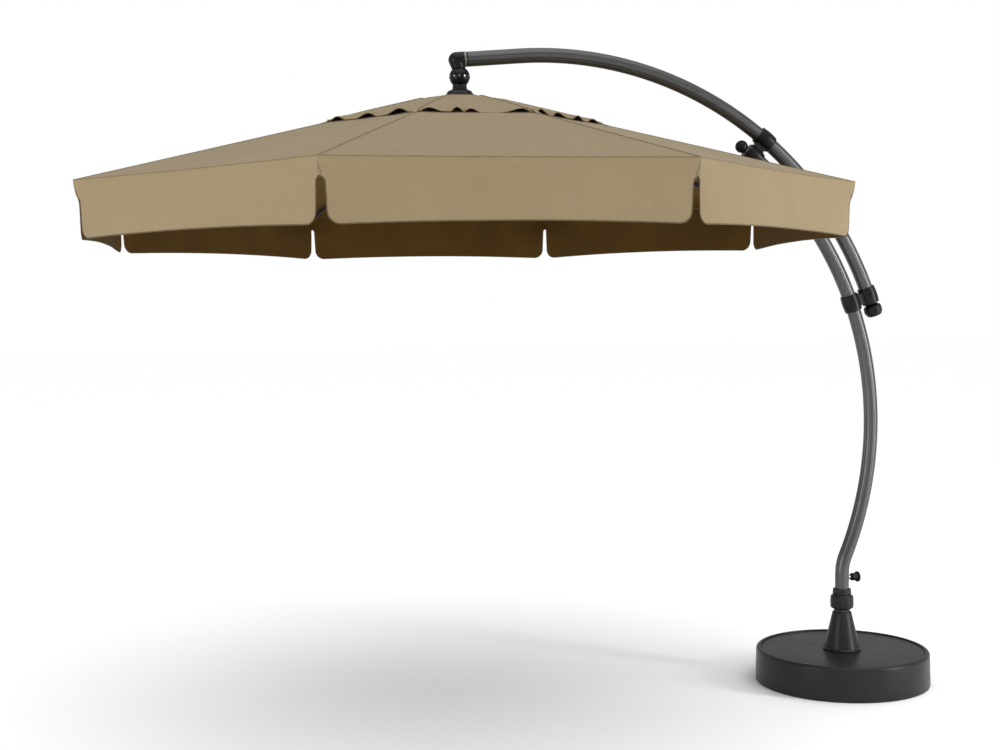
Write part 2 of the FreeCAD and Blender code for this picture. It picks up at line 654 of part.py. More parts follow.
def sloped_half(side, inner_r, outer_r, inner_z, outer_z, dip):
    """Half of a rib's share of the cloth: one flat slope from the rib to the middle of the bay.

    The slope is level along the outer edge, which the cloth's pull draws in by dip at mid-bay.
    """
    half = math.radians(SECTOR / 2)
    fall = (inner_z - outer_z) / (outer_r - inner_r)
    across = math.cos(half)

    def top(radius, share):
        """Point at a share of the way from the rib to mid-bay, with the rib's radius given."""
        pull = dip * (1 - (1 - share) ** 2) * radius / outer_r
        middle = radius * across - pull
        out = radius * (1 - share) + share * middle * math.cos(half)
        over = share * middle * math.sin(half)
        height = inner_z - fall * (radius - inner_r)
        return V(out, side * over, height)

    corners = [top(inner_r, 0), top(outer_r, 0), top(outer_r, 1), top(inner_r, 1)]
    face = Part.Face(Part.makePolygon(corners + corners[:1]))
    return face.extrude(V(0, 0, -CLOTH))


def valance_half(side):
    """Half of a bay's hanging edge, with the slit at the rib's corner."""
    half = math.radians(SECTOR / 2)
    corner = V(CANOPY_R, 0, EAVE_Z)
    middle = CANOPY_R * math.cos(half) - EAVE_DIP
    end = V(middle * math.cos(half), side * middle * math.sin(half), EAVE_Z)
    along = end.sub(corner).normalize()
    slit = corner.add(along * SLIT_HALF)
    down = V(0, 0, -1)
    points = [
        corner, end, end.add(down * VALANCE), slit.add(down * VALANCE), slit.add(down * SLIT_TOP),
        corner.add(down * (SLIT_TOP - SLIT_HALF))]
    face = Part.Face(Part.makePolygon(points + points[:1]))
    inward = V(-along.y, along.x, 0) * side
    if inward.x > 0:
        inward = inward * -1
    return face.extrude(inward * CLOTH)


def canopy_panel(index):
    """One rib's share of the cloth: slopes and valance as one solid, and the vent cap's as another."""
    ridge = (PEAK_Z - EAVE_Z) / CANOPY_R
    main = None
    cap = None
    for side in (-1, 1):
        slope = sloped_half(side, HOLE_R, CANOPY_R, PEAK_Z - ridge * HOLE_R, EAVE_Z, EAVE_DIP)
        slope = slope.fuse(valance_half(side))
        main = slope if main is None else main.fuse(slope)
        edge = PEAK_Z - ridge * CAP_R + CAP_LIFT
        plateau = sloped_half(side, FLANGE_R - 4, CAP_PLATEAU_R, CAP_PLATEAU_Z, CAP_PLATEAU_Z, 0)
        cover = plateau.fuse(sloped_half(side, CAP_PLATEAU_R, CAP_R, CAP_PLATEAU_Z, edge, 0))
        cap = cover if cap is None else cap.fuse(cover)
    for side in (-1, 1):
        seam = block(V(0, -SEAM_GAP, EAVE_Z - 300), V(CANOPY_R, SEAM_GAP, CAP_PLATEAU_Z + 10))
        seam.rotate(V(0, 0, 0), V(0, 0, 1), side * SECTOR / 2)
        main = main.cut(seam)
        cap = cap.cut(seam)
    return to_rib(Part.makeCompound([main.removeSplitter(), cap.removeSplitter()]), index)


# ---------------------------------------------------------------- all the pieces
UPPER = (UPPER_BRACKET_ANGLE, MAST_ARC, ARM_ARC, 1)
LOWER = (LOWER_BRACKET_ANGLE, ARM_ARC, MAST_ARC, -1)


def main():
    os.makedirs("parts", exist_ok=True)
    for piece in (
            base_tub, base_lid, cross_frame, ballast_fill, socket_tube, base_cone, clamp_collet, clamp_nut,
            mast_tube, foot_ring, swivel_bushes, foot_nut, foot_knob, foot_screw, upper_knob, lower_knob,
            arm_tube, elbow, gimbal_cross, ball_shell, ball_screws, neck, crown, crown_pins, centre_pole,
            runner, latch_pin):
        save(piece.__name__, piece())
    for name, place in (("upper", UPPER), ("lower", LOWER)):
        save(name + "_bracket", bracket(*place))
        save(name + "_liner", liner(*place))
        save(name + "_shoe", brake_shoe(*place))
        save(name + "_spindle", cam_spindle(*place))
    for index in range(RIB_COUNT):
        number = str(index + 1)
        save("rib_" + number, rib(index))
        save("strut_" + number, strut(index))
        save("canopy_panel_" + number, canopy_panel(index))


main()
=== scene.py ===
"""Looks of a cantilever parasol: cloth, trims, castings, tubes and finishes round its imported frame."""

import json
import logging
import math
from collections.abc import Callable, Sequence
from dataclasses import dataclass, field
from enum import Enum

import bpy
import numpy as np
from mathutils import Matrix, Vector

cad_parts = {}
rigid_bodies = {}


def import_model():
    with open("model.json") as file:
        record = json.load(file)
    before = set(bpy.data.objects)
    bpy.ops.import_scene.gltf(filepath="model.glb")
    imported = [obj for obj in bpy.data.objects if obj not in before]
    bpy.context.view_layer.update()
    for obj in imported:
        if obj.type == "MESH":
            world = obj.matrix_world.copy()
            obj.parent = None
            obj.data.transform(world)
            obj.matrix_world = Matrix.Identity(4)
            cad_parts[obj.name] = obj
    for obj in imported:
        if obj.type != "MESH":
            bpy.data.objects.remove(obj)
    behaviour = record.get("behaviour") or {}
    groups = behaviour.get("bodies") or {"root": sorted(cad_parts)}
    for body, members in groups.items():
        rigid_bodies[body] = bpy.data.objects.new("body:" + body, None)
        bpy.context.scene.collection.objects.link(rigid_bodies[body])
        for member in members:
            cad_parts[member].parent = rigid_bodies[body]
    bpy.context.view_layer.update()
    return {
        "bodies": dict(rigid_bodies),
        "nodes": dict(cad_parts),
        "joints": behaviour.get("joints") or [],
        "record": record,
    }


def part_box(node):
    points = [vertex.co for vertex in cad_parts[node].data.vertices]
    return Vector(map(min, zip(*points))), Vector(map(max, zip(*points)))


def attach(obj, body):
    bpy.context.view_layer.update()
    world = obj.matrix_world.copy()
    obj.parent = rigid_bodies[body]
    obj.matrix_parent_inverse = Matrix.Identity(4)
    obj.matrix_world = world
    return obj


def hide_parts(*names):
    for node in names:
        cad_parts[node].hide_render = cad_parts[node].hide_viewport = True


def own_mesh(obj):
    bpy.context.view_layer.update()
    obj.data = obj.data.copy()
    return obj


LOG = logging.getLogger("parasol")

# The canopy's axis and the eight ribs round it, in metres and degrees.
HUB = (-1.944, 0.0)
CENTRE = np.array((*HUB, 0.0))
RIBS = 8
FIRST_RIB = 14.6
SECTOR = 360.0 / RIBS
HALF = math.radians(SECTOR / 2)

# The arc that the mast and the arm share.
ARC_X, ARC_Z = -1.491, 1.297
MAST_ARC, ARM_ARC = 1.651, 1.753

UP = np.array((0.0, 0.0, 1.0))
WHITE = (1.0, 1.0, 1.0, 1.0)

MM_PER_M = 1000.0
# Half a step of a numeric slope, and a length below which two points of a path count as one, in metres.
SLOPE_STEP = 1e-4
SAME_PLACE = 1e-7

# Radius, height and fillet radius of an outline's corner, in millimetres.
Corner = tuple[float, float, float]
# Points of a surface from two parameter grids.
Surface = Callable[[np.ndarray, np.ndarray], np.ndarray]
# Vertices and faces of a sewn strip, and the number of its material.
Strip = tuple[np.ndarray, list[tuple[int, ...]], int]


# ------------------------------------------------------------------ colour and node helpers
def linear(colour: str) -> tuple[float, float, float, float]:
    """Turn an sRGB hex colour into linear RGBA.

    Args:
        colour: Six hex digits after a hash sign.

    Returns:
        Red, green, blue and alpha in linear light.
    """
    parts = [int(colour[at : at + 2], 16) / 255 for at in (1, 3, 5)]
    flat = [c / 12.92 if c <= 0.04045 else ((c + 0.055) / 1.055) ** 2.4 for c in parts]
    return (*flat, 1.0)


def add_node(
    tree: bpy.types.NodeTree,
    kind: str,
    settings: dict[str, object] | None = None,
    inputs: dict[str | int, object] | None = None,
) -> bpy.types.Node:
    """Add one node with its settings, its socket values and its links.

    Args:
        tree: Node tree that the node goes in.
        kind: Blender's type name of the node.
        settings: Attributes of the node itself.
        inputs: Socket name or number to a value, or to the socket that feeds it.

    Returns:
        The new node.
    """
    node = tree.nodes.new(kind)
    for name, value in (settings or {}).items():
        setattr(node, name, value)
    for name, value in (inputs or {}).items():
        if isinstance(value, bpy.types.NodeSocket):
            tree.links.new(value, node.inputs[name])
        else:
            node.inputs[name].default_value = value
    return node


def new_tree(name: str) -> tuple[bpy.types.Material, bpy.types.NodeTree]:
    """Make a material with an empty node tree.

    Args:
        name: The material's name.

    Returns:
        The material and its node tree.
    """
    material = bpy.data.materials.new(name)
    material.use_nodes = True
    material.node_tree.nodes.clear()
    return material, material.node_tree


def shade(tree: bpy.types.NodeTree, inputs: dict[str, object]) -> None:
    """Add the surface shader with its inputs and join it to the material's output."""
    shader = add_node(tree, "ShaderNodeBsdfPrincipled", None, inputs)
    add_node(tree, "ShaderNodeOutputMaterial", None, {"Surface": shader.outputs["BSDF"]})


def combine(tree: bpy.types.NodeTree, operation: str, first: object, second: object) -> bpy.types.NodeSocket:
    """Work out one value from two, each given as a number or as a socket."""
    return add_node(tree, "ShaderNodeMath", {"operation": operation}, {0: first, 1: second}).outputs["Value"]


# ------------------------------------------------------------------ finishes
class Scatter(Enum):
    """What a noise pattern is measured in."""

    OBJECT = "Object"
    CLOTH = "UV"


def speckle(
    tree: bpy.types.NodeTree,
    millimetres: float,
    low: float,
    high: float,
    detail: float = 3.0,
    scatter: Scatter = Scatter.OBJECT,
    stretch: tuple[float, float, float] = (1.0, 1.0, 1.0),
) -> bpy.types.NodeSocket:
    """Noise of a real size, spread between two values.

    Args:
        tree: Node tree to work in.
        millimetres: Size of one blotch.
        low: Value in the troughs.
        high: Value on the peaks.
        detail: How many finer layers the noise has.
        scatter: Coordinates the size is measured in.
        stretch: Factor on the frequency along each axis.

    Returns:
        The socket that carries the value.
    """
    place = add_node(tree, "ShaderNodeTexCoord")
    moved = {"Vector": place.outputs[scatter.value], "Scale": stretch}
    scaled = add_node(tree, "ShaderNodeMapping", None, moved).outputs["Vector"]
    layers = {"Vector": scaled, "Scale": MM_PER_M / millimetres, "Detail": detail, "Roughness": 0.55}
    noise = add_node(tree, "ShaderNodeTexNoise", None, layers).outputs["Fac"]
    ends = {"Value": noise, "From Min": 0.3, "From Max": 0.7, "To Min": low, "To Max": high}
    return add_node(tree, "ShaderNodeMapRange", None, ends).outputs["Result"]


def tinted(
    tree: bpy.types.NodeTree, share: bpy.types.NodeSocket, plain: object, other: object
) -> bpy.types.NodeSocket:
    """Mix two colours by a share, each given as RGBA or as a socket."""
    mix = add_node(tree, "ShaderNodeMix", {"data_type": "RGBA"}, {0: share, 6: plain, 7: other})
    return mix.outputs[2]


def relief(
    tree: bpy.types.NodeTree,
    height: bpy.types.NodeSocket,
    millimetres: float,
    strength: float,
    under: bpy.types.NodeSocket | None = None,
) -> bpy.types.NodeSocket:
    """Bump of a real depth, laid over another bump if there is one.

    Args:
        tree: Node tree to work in.
        height: Pattern that gives the bump's height, from 0 to 1.
        millimetres: Depth of the bump.
        strength: Share of the bump that is used.
        under: The coarser bump that this one lies on.

    Returns:
        The socket that carries the normal.
    """
    inputs = {"Height": height, "Distance": millimetres / MM_PER_M, "Strength": strength}
    if under is not None:
        inputs["Normal"] = under
    return add_node(tree, "ShaderNodeBump", None, inputs).outputs["Normal"]


@dataclass(frozen=True)
class WovenPolyester:
    """Solution-dyed polyester, plain weave: a soft, slightly uneven surface with a faint sheen."""

    name: str = "woven_polyester_khaki"
    dyed: str = "#87775B"
    faded: str = "#8D7E62"
    thread_dark: str = "#6D5F46"
    # The real threads are 0.5 mm apart, far too fine to show. What is drawn is a faint check, as coarse as
    # it needs to be to give the cloth a slight unevenness along and across from a few metres away.
    check_mm: float = 31.416
    roughness: float = 0.82
    sheen: float = 0.05

    def build(self) -> bpy.types.Material:
        """Build the cloth's material, its weave laid along and across each bay.

        Returns:
            The material.
        """
        material, tree = new_tree(self.name)
        place = add_node(tree, "ShaderNodeTexCoord")
        # A wave texture of scale 1 turns by 20 radians in a unit, so this makes one band check_mm wide.
        bands = MM_PER_M * 2 * math.pi / 20 / self.check_mm
        wave = {"Vector": place.outputs["UV"], "Scale": bands, "Distortion": 0.4, "Detail Scale": 2.0}
        threads = []
        for way in ("X", "Y"):
            bent = add_node(tree, "ShaderNodeTexWave", {"bands_direction": way}, wave)
            threads.append(bent.outputs["Fac"])
        weave = combine(tree, "MULTIPLY", *threads)
        weather = speckle(tree, 420.0, 0.0, 1.0, 4.0)
        slub = speckle(tree, 9.0, 0.0, 0.5, 2.0, Scatter.CLOTH, (0.12, 1.0, 1.0))
        body = tinted(tree, weather, linear(self.dyed), linear(self.faded))
        body = tinted(tree, slub, body, linear(self.dyed))
        gaps = add_node(tree, "ShaderNodeMapRange", None, {"Value": weave, "To Min": 0.045, "To Max": 0.0})
        body = tinted(tree, gaps.outputs["Result"], body, linear(self.thread_dark))
        creases = speckle(tree, 130.0, 0.0, 1.0, 5.0, Scatter.CLOTH, (0.45, 1.0, 1.0))
        soft = relief(tree, creases, 14.0, 0.55)
        surface = relief(tree, weave, 0.2, 0.2, soft)
        shade(tree, {
            "Base Color": body,
            "Roughness": self.roughness,
            "IOR": 1.3,
            "Sheen Weight": self.sheen,
            "Sheen Roughness": 0.4,
            "Normal": surface,
        })
        return material


@dataclass(frozen=True)
class ShadedLining:
    """The cloth's underside: its colour is painted shade, darker than the outer face for the shade under the
    canopy and the vent cap.
    """

    name: str = "lining_painted_shade_brown"
    # The coat colour is painted shade: the underside is darkened for the shade it lies in, not by a coating
    # of its own.
    coat: str = "#493410"
    worn: str = "#543E16"
    # The coating's grain is under 1 mm. It is drawn at 5 mm so that it shows.
    grain_mm: float = 5.0

    def build(self) -> bpy.types.Material:
        """Build the lining's material.

        Returns:
            The material.
        """
        material, tree = new_tree(self.name)
        patches = speckle(tree, 260.0, 0.0, 1.0, 4.0)
        body = tinted(tree, patches, linear(self.coat), linear(self.worn))
        grain = speckle(tree, self.grain_mm, 0.0, 1.0, 2.0, Scatter.CLOTH)
        shade(tree, {
            "Base Color": body,
            "Roughness": 0.8,
            "IOR": 1.25,
            "Normal": relief(tree, grain, 0.3, 0.4),
        })
        return material


@dataclass(frozen=True)
class SewnTape:
    """Folded polyester tape sewn over the cloth's raw edges, darker than the cloth, with a fine rib."""

    name: str
    dyed: str
    lit: str
    roughness: float = 0.75

    def build(self) -> bpy.types.Material:
        """Build the tape's material.

        Returns:
            The material.
        """
        material, tree = new_tree(self.name)
        share = speckle(tree, 14.0, 0.0, 1.0, 3.0)
        rib = speckle(tree, 1.5, 0.0, 1.0, 2.0)
        shade(tree, {
            "Base Color": tinted(tree, share, linear(self.dyed), linear(self.lit)),
            "Roughness": self.roughness,
            "IOR": 1.45,
            "Sheen Weight": 0.1,
            "Normal": relief(tree, rib, 0.3, 0.5),
        })
        return material


@dataclass(frozen=True)
class PowderCoat:
    """Baked polyester powder on metal: an even satin skin with a slight orange peel and dusty patches."""

    name: str
    powder: str
    dust: str
    metallic: float = 0.0
    roughness: float = 0.34
    ior: float = 1.5
    # Orange peel is a ripple about 1.5 mm across. It is drawn at twice that so that it still shows.
    peel_mm: float = 3.0
    peel_depth_mm: float = 0.012

    def build(self) -> bpy.types.Material:
        """Build the powder coat's material.

        Returns:
            The material.
        """
        material, tree = new_tree(self.name)
        patches = speckle(tree, 180.0, 0.0, 0.6, 4.0)
        grime = speckle(tree, 60.0, -0.03, 0.03, 4.0)
        peel = speckle(tree, self.peel_mm, 0.0, 1.0, 2.0)
        uneven = combine(tree, "ADD", grime, self.roughness)
        shade(tree, {
            "Base Color": tinted(tree, patches, linear(self.powder), linear(self.dust)),
            "Metallic": self.metallic,
            "Roughness": uneven,
            "IOR": self.ior,
            "Normal": relief(tree, peel, self.peel_depth_mm, 0.12),
        })
        return material


@dataclass(frozen=True)
class MouldedPlastic:
    """Injection-moulded polypropylene with a fine spark-eroded grain, dull, lighter where it is rubbed."""

    name: str
    pigment: str
    rubbed: str
    roughness: float = 0.5
    # The grain is about 0.3 mm. It is drawn at 1.6 mm so that it shows from a few metres away.
    grain_mm: float = 1.6
    grain_depth_mm: float = 0.03

    def build(self) -> bpy.types.Material:
        """Build the moulded plastic's material.

        Returns:
            The material.
        """
        material, tree = new_tree(self.name)
        rubbed = speckle(tree, 140.0, 0.0, 0.6, 4.0)
        scuffs = speckle(tree, 70.0, -0.03, 0.04, 4.0)
        grain = speckle(tree, self.grain_mm, 0.0, 1.0, 2.0)
        uneven = combine(tree, "ADD", scuffs, self.roughness)
        shade(tree, {
            "Base Color": tinted(tree, rubbed, linear(self.pigment), linear(self.rubbed)),
            "Roughness": uneven,
            "IOR": 1.27,
            "Normal": relief(tree, grain, self.grain_depth_mm, 0.3),
        })
        return material


@dataclass(frozen=True)
class PlatedSteel:
    """Steel with a zinc or nickel plating: bright metal with cloudy patches in its gloss."""

    name: str
    plating: str
    clouded: str
    roughness: float

    def build(self) -> bpy.types.Material:
        """Build the plated steel's material.

        Returns:
            The material.
        """
        material, tree = new_tree(self.name)
        clouds = speckle(tree, 12.0, 0.0, 1.0, 4.0)
        shade(tree, {
            "Base Color": tinted(tree, clouds, linear(self.plating), linear(self.clouded)),
            "Metallic": 1.0,
            "Roughness": speckle(tree, 20.0, self.roughness, self.roughness + 0.12, 3.0),
        })
        return material


@dataclass(frozen=True)
class WashedGravel:
    """Ballast of washed gravel, seen only if the lid is off."""

    name: str = "washed_gravel"
    shaded: str = "#6E675C"
    lighter_top: str = "#A39A88"
    stone_mm: float = 14.0

    def build(self) -> bpy.types.Material:
        """Build the gravel's material.

        Returns:
            The material.
        """
        material, tree = new_tree(self.name)
        stones = speckle(tree, self.stone_mm, 0.0, 1.0, 5.0)
        shade(tree, {
            # The colour follows the stones' bump: the shaded colour is painted shade in the hollows between
            # stones, the lighter one lies on their tops.
            "Base Color": tinted(tree, stones, linear(self.shaded), linear(self.lighter_top)),
            "Roughness": 0.9,
            "Normal": relief(tree, stones, 6.0, 0.8),
        })
        return material


@dataclass
class Finishes:
    """Every finish of the parasol, built once."""

    made: dict[str, bpy.types.Material] = field(default_factory=dict)

    def build(self) -> None:
        """Build all the materials."""
        for finish in (
            WovenPolyester(),
            ShadedLining(),
            SewnTape("seam_welt_brown", "#6A5836", "#7C6945"),
            SewnTape("edge_binding_brown", "#4B3A1E", "#5C4A2A"),
            PowderCoat("powder_coat_anthracite", "#505152", "#595959", metallic=0.85, roughness=0.33),
            PowderCoat("powder_coat_grey_ring", "#6A6A6A", "#7A7A78", metallic=0.5, roughness=0.3),
            PowderCoat("powder_coat_black", "#0C0C0D", "#121212", roughness=0.32, ior=1.28),
            PowderCoat("powder_coat_rib_grey", "#3C3D3F", "#4A4A4A", metallic=0.3, roughness=0.4),
            MouldedPlastic("moulded_plastic_base", "#222223", "#28282A", roughness=0.36),
            MouldedPlastic("moulded_plastic_black", "#0E0E0F", "#161616", roughness=0.34),
            MouldedPlastic("nylon_bearing_grey", "#3A3A3A", "#4A4A4A", roughness=0.55),
            PlatedSteel("zinc_plated_steel", "#B9BCC0", "#9A9DA0", 0.35),
            PlatedSteel("nickel_plated_steel", "#D8D8D6", "#C4C4C2", 0.16),
            WashedGravel(),
        ):
            self.made[finish.name] = finish.build()

    def __getitem__(self, name: str) -> bpy.types.Material:
        """The material of that name."""
        return self.made[name]


# ------------------------------------------------------------------ mesh helpers
def mesh_object(
    name: str,
    points: np.ndarray,
    faces: Sequence[Sequence[int]],
    materials: Sequence[bpy.types.Material],
    slots: Sequence[int] | None = None,
    normals: np.ndarray | None = None,
    cloth_uv: np.ndarray | None = None,
) -> bpy.types.Object:
    """Make a smooth-shaded mesh object in the scene.

    Args:
        name: The object's name.
        points: One row of three numbers per vertex, in metres.
        faces: Vertex numbers of each face.
        materials: Materials of the object, in slot order.
        slots: Material number of each face, or None for the first.
        normals: The surface's own normals, one row per vertex, if they are known.
        cloth_uv: Place of each vertex along and across the cloth, in metres.

    Returns:
        The object, linked to the scene.
    """
    mesh = bpy.data.meshes.new(name)
    mesh.from_pydata(points.tolist(), [], [list(f) for f in faces])
    for material in materials:
        mesh.materials.append(material)
    if slots is not None:
        mesh.polygons.foreach_set("material_index", list(slots))
    mesh.polygons.foreach_set("use_smooth", [True] * len(mesh.polygons))
    if cloth_uv is not None:
        layer = mesh.uv_layers.new(name="cloth")
        corners = np.zeros(len(mesh.loops), np.int32)
        mesh.loops.foreach_get("vertex_index", corners)
        layer.data.foreach_set("uv", cloth_uv[corners].astype(np.float32).ravel())
    if normals is not None:
        mesh.normals_split_custom_set_from_vertices([tuple(n) for n in normals])
    mesh.update()
    made = bpy.data.objects.new(name, mesh)
    bpy.context.scene.collection.objects.link(made)
    return made


def grid_faces(rows: int, columns: int, start: int = 0, flip: bool = False) -> list[tuple[int, ...]]:
    """Quads of a grid whose vertices run row by row.

    Args:
        rows: Number of rows of vertices.
        columns: Number of vertices in a row.
        start: Number of the grid's first vertex.
        flip: Turn the quads over.

    Returns:
        Four vertex numbers for each quad.
    """
    faces = []
    for row in range(rows - 1):
        for column in range(columns - 1):
            a = start + row * columns + column
            quad = (a, a + 1, a + columns + 1, a + columns)
            faces.append(quad[::-1] if flip else quad)
    return faces


def hoop_faces(hoops: int, count: int) -> list[tuple[int, ...]]:
    """Quads between closed rings of vertices that follow each other.

    Args:
        hoops: Number of rings.
        count: Number of vertices in a ring.

    Returns:
        Four vertex numbers for each quad.
    """
    faces = []
    for hoop in range(hoops - 1):
        for step in range(count):
            a, b = hoop * count + step, hoop * count + (step + 1) % count
            faces.append((a, b, b + count, a + count))
    return faces


def fillet_profile(corners: Sequence[Corner], steps: int = 7) -> list[tuple[float, float]]:
    """Round the corners of an open outline in the radius-height plane.

    Args:
        corners: Radius, height and fillet radius of each corner, in millimetres.
        steps: Number of points on each fillet.

    Returns:
        Radius and height of each point, in metres.
    """
    points = []
    for index, (radius, height, round_r) in enumerate(corners):
        here = Vector((radius, height))
        if round_r == 0 or index in (0, len(corners) - 1):
            points.append(here)
            continue
        before = (Vector(corners[index - 1][:2]) - here).normalized()
        after = (Vector(corners[index + 1][:2]) - here).normalized()
        half = before.angle(after) / 2
        reach = round_r / math.tan(half)
        centre = here + (before + after).normalized() * (round_r / math.sin(half))
        first, last = here + before * reach - centre, here + after * reach - centre
        turn = first.angle_signed(last)
        for step in range(steps):
            arm = first.copy()
            arm.rotate(Matrix.Rotation(-turn * step / (steps - 1), 2))
            points.append(centre + arm)
    return [(point.x / MM_PER_M, point.y / MM_PER_M) for point in points]


def lathe(
    name: str,
    profile: Sequence[tuple[float, float]],
    material: bpy.types.Material,
    segments: int = 128,
    wobble: Callable[[float, float, float], float] | None = None,
) -> bpy.types.Object:
    """Turn an outline about the vertical axis.

    Args:
        name: The object's name.
        profile: Radius and height of each point, in metres, from the bottom outward and up.
        material: The piece's finish.
        segments: Number of steps round the axis.
        wobble: Change of radius by radius, height and angle, for grips and flutes.

    Returns:
        The turned piece.
    """
    points = []
    for radius, height in profile:
        for step in range(segments):
            turn = 2 * math.pi * step / segments
            across = radius + (wobble(radius, height, turn) if wobble else 0.0)
            points.append((across * math.cos(turn), across * math.sin(turn), height))
    made = mesh_object(name, np.array(points), hoop_faces(len(profile), segments), [material])
    made.data.set_sharp_from_angle(angle=math.radians(50))
    return made


def rib_azimuth(index: int) -> float:
    """Azimuth of a rib in radians."""
    return math.radians(FIRST_RIB + index * SECTOR)


def azimuth_axes(turn: float) -> tuple[np.ndarray, np.ndarray]:
    """Outward and sideways directions at an azimuth in radians."""
    across, along = math.cos(turn), math.sin(turn)
    return np.array((across, along, 0.0)), np.array((-along, across, 0.0))


def unit(vectors: np.ndarray) -> np.ndarray:
    """Scale each row to length one."""
    return vectors / np.maximum(np.linalg.norm(vectors, axis=-1, keepdims=True), 1e-12)


def smooth_step(value: np.ndarray, low: float, high: float) -> np.ndarray:
    """Rise smoothly from 0 at low to 1 at high, without a slope at either."""
    share = np.clip((value - low) / (high - low), 0, 1)
    return share * share * (3 - 2 * share)


# ------------------------------------------------------------------ cloth
@dataclass(frozen=True)
class Patch:
    """One smooth field of cloth: its vertices, its normals and its place on the bolt, all as grids."""

    points: np.ndarray
    normals: np.ndarray
    bolt: np.ndarray
    flip: bool
    raw_rows: tuple[int, ...]
    raw_first_column: bool


def make_patch(
    surface: Surface,
    along: np.ndarray,
    across: np.ndarray,
    outward: np.ndarray,
    bolt: np.ndarray,
    raw_rows: tuple[int, ...] = (),
    raw_first_column: bool = False,
) -> Patch:
    """Sample a surface on a grid, with its true normals.

    Args:
        surface: Points of the surface from two parameter grids.
        along: First parameter at each grid vertex.
        across: Second parameter at each grid vertex.
        outward: A direction on the cloth's outer side.
        bolt: Place of each grid vertex on the flat cloth, in metres.
        raw_rows: Rows whose edge shows.
        raw_first_column: Whether the first column's edge shows.

    Returns:
        The sampled patch.
    """
    points = surface(along, across)
    run = surface(along + SLOPE_STEP, across) - surface(along - SLOPE_STEP, across)
    rise = surface(along, across + SLOPE_STEP) - surface(along, across - SLOPE_STEP)
    normals = unit(np.cross(run, rise))
    normals *= np.where((normals @ outward) < 0, -1, 1)[..., None]
    first, second = points[1, 1] - points[0, 1], points[0, 2] - points[0, 1]
    flip = float(np.dot(np.cross(second, first), normals[0, 1])) < 0
    return Patch(points, normals, bolt, flip, raw_rows, raw_first_column)


def sew(name: str, patches: Sequence[Patch], thickness: float, finishes: Finishes) -> bpy.types.Object:
    """Make one sheet of cloth from patches: outer face, lining and raw edges.

    Args:
        name: The object's name.
        patches: The fields of cloth.
        thickness: Thickness of the cloth, in metres.
        finishes: The parasol's materials.

    Returns:
        The sheet.
    """
    points, normals, bolts, faces, slots = [], [], [], [], []
    start = 0
    for patch in patches:
        rows, columns = patch.points.shape[:2]
        count = rows * columns
        outer = patch.points.reshape(-1, 3)
        facing = patch.normals.reshape(-1, 3)
        points += [outer, outer - facing * thickness]
        normals += [facing, -facing]
        bolts += [patch.bolt.reshape(-1, 2)] * 2
        for face in grid_faces(rows, columns, start, patch.flip):
            faces.append(face)
            slots.append(0)
        # The inner faces take the darker lining colour, which is painted shade on the cloth's underside.
        for face in grid_faces(rows, columns, start + count, not patch.flip):
            faces.append(face)
            slots.append(1)
        edges = [[row * columns + c for c in range(columns)] for row in patch.raw_rows]
        if patch.raw_first_column:
            edges.append([r * columns for r in range(rows)])
        for edge in edges:
            for a, b in zip(edge, edge[1:]):
                faces.append((start + a, start + b, start + count + b, start + count + a))
                slots.append(0)
        start += 2 * count
    return mesh_object(
        name,
        np.vstack(points),
        faces,
        [finishes["woven_polyester_khaki"], finishes["lining_painted_shade_brown"]],
        slots,
        np.vstack(normals),
        np.vstack(bolts),
    )


@dataclass(frozen=True)
class Welt:
    """A thin sewn strip that follows an edge or a seam, of flattened round section, in metres."""

    width: float
    height: float
    sides: int = 8

    def sweep(self, path: np.ndarray, up: np.ndarray, slot: int = 0) -> Strip:
        """Sweep the section along a path.

        Args:
            path: Points of the path, one per row.
            up: Direction of the section's height.
            slot: Number of the strip's material.

        Returns:
            The strip.
        """
        ahead = unit(np.gradient(path, axis=0))
        side = unit(np.cross(ahead, up))
        rise = unit(np.cross(side, ahead))
        rings = []
        for step in range(self.sides):
            turn = 2 * math.pi * step / self.sides
            across = side * (self.width / 2 * math.cos(turn))
            rings.append(path + across + rise * (self.height / 2 * math.sin(turn)))
        points = np.stack(rings, axis=1)
        faces = hoop_faces(len(path), self.sides)
        faces.append(tuple(range(self.sides))[::-1])
        faces.append(tuple((len(path) - 1) * self.sides + s for s in range(self.sides)))
        return points.reshape(-1, 3), faces, slot


def join_strips(
    name: str, strips: Sequence[Strip], materials: Sequence[bpy.types.Material]
) -> bpy.types.Object:
    """Make one object of several strips.

    Args:
        name: The object's name.
        strips: The strips, each with its material's number.
        materials: Materials of the object, in slot order.

    Returns:
        The object.
    """
    points, faces, slots, start = [], [], [], 0
    for strip_points, strip_faces, slot in strips:
        points.append(strip_points)
        faces += [tuple(start + v for v in face) for face in strip_faces]
        slots += [slot] * len(strip_faces)
        start += len(strip_points)
    return mesh_object(name, np.vstack(points), faces, materials, slots)


EAVE_WELT = Welt(0.0045, 0.0030)
RIM_BINDING = Welt(0.0055, 0.0030)
RIDGE_SEAM = Welt(0.0075, 0.0026)
CAP_HEM = Welt(0.0042, 0.0036)
CORNER_TAB = Welt(0.020, 0.0024, 10)


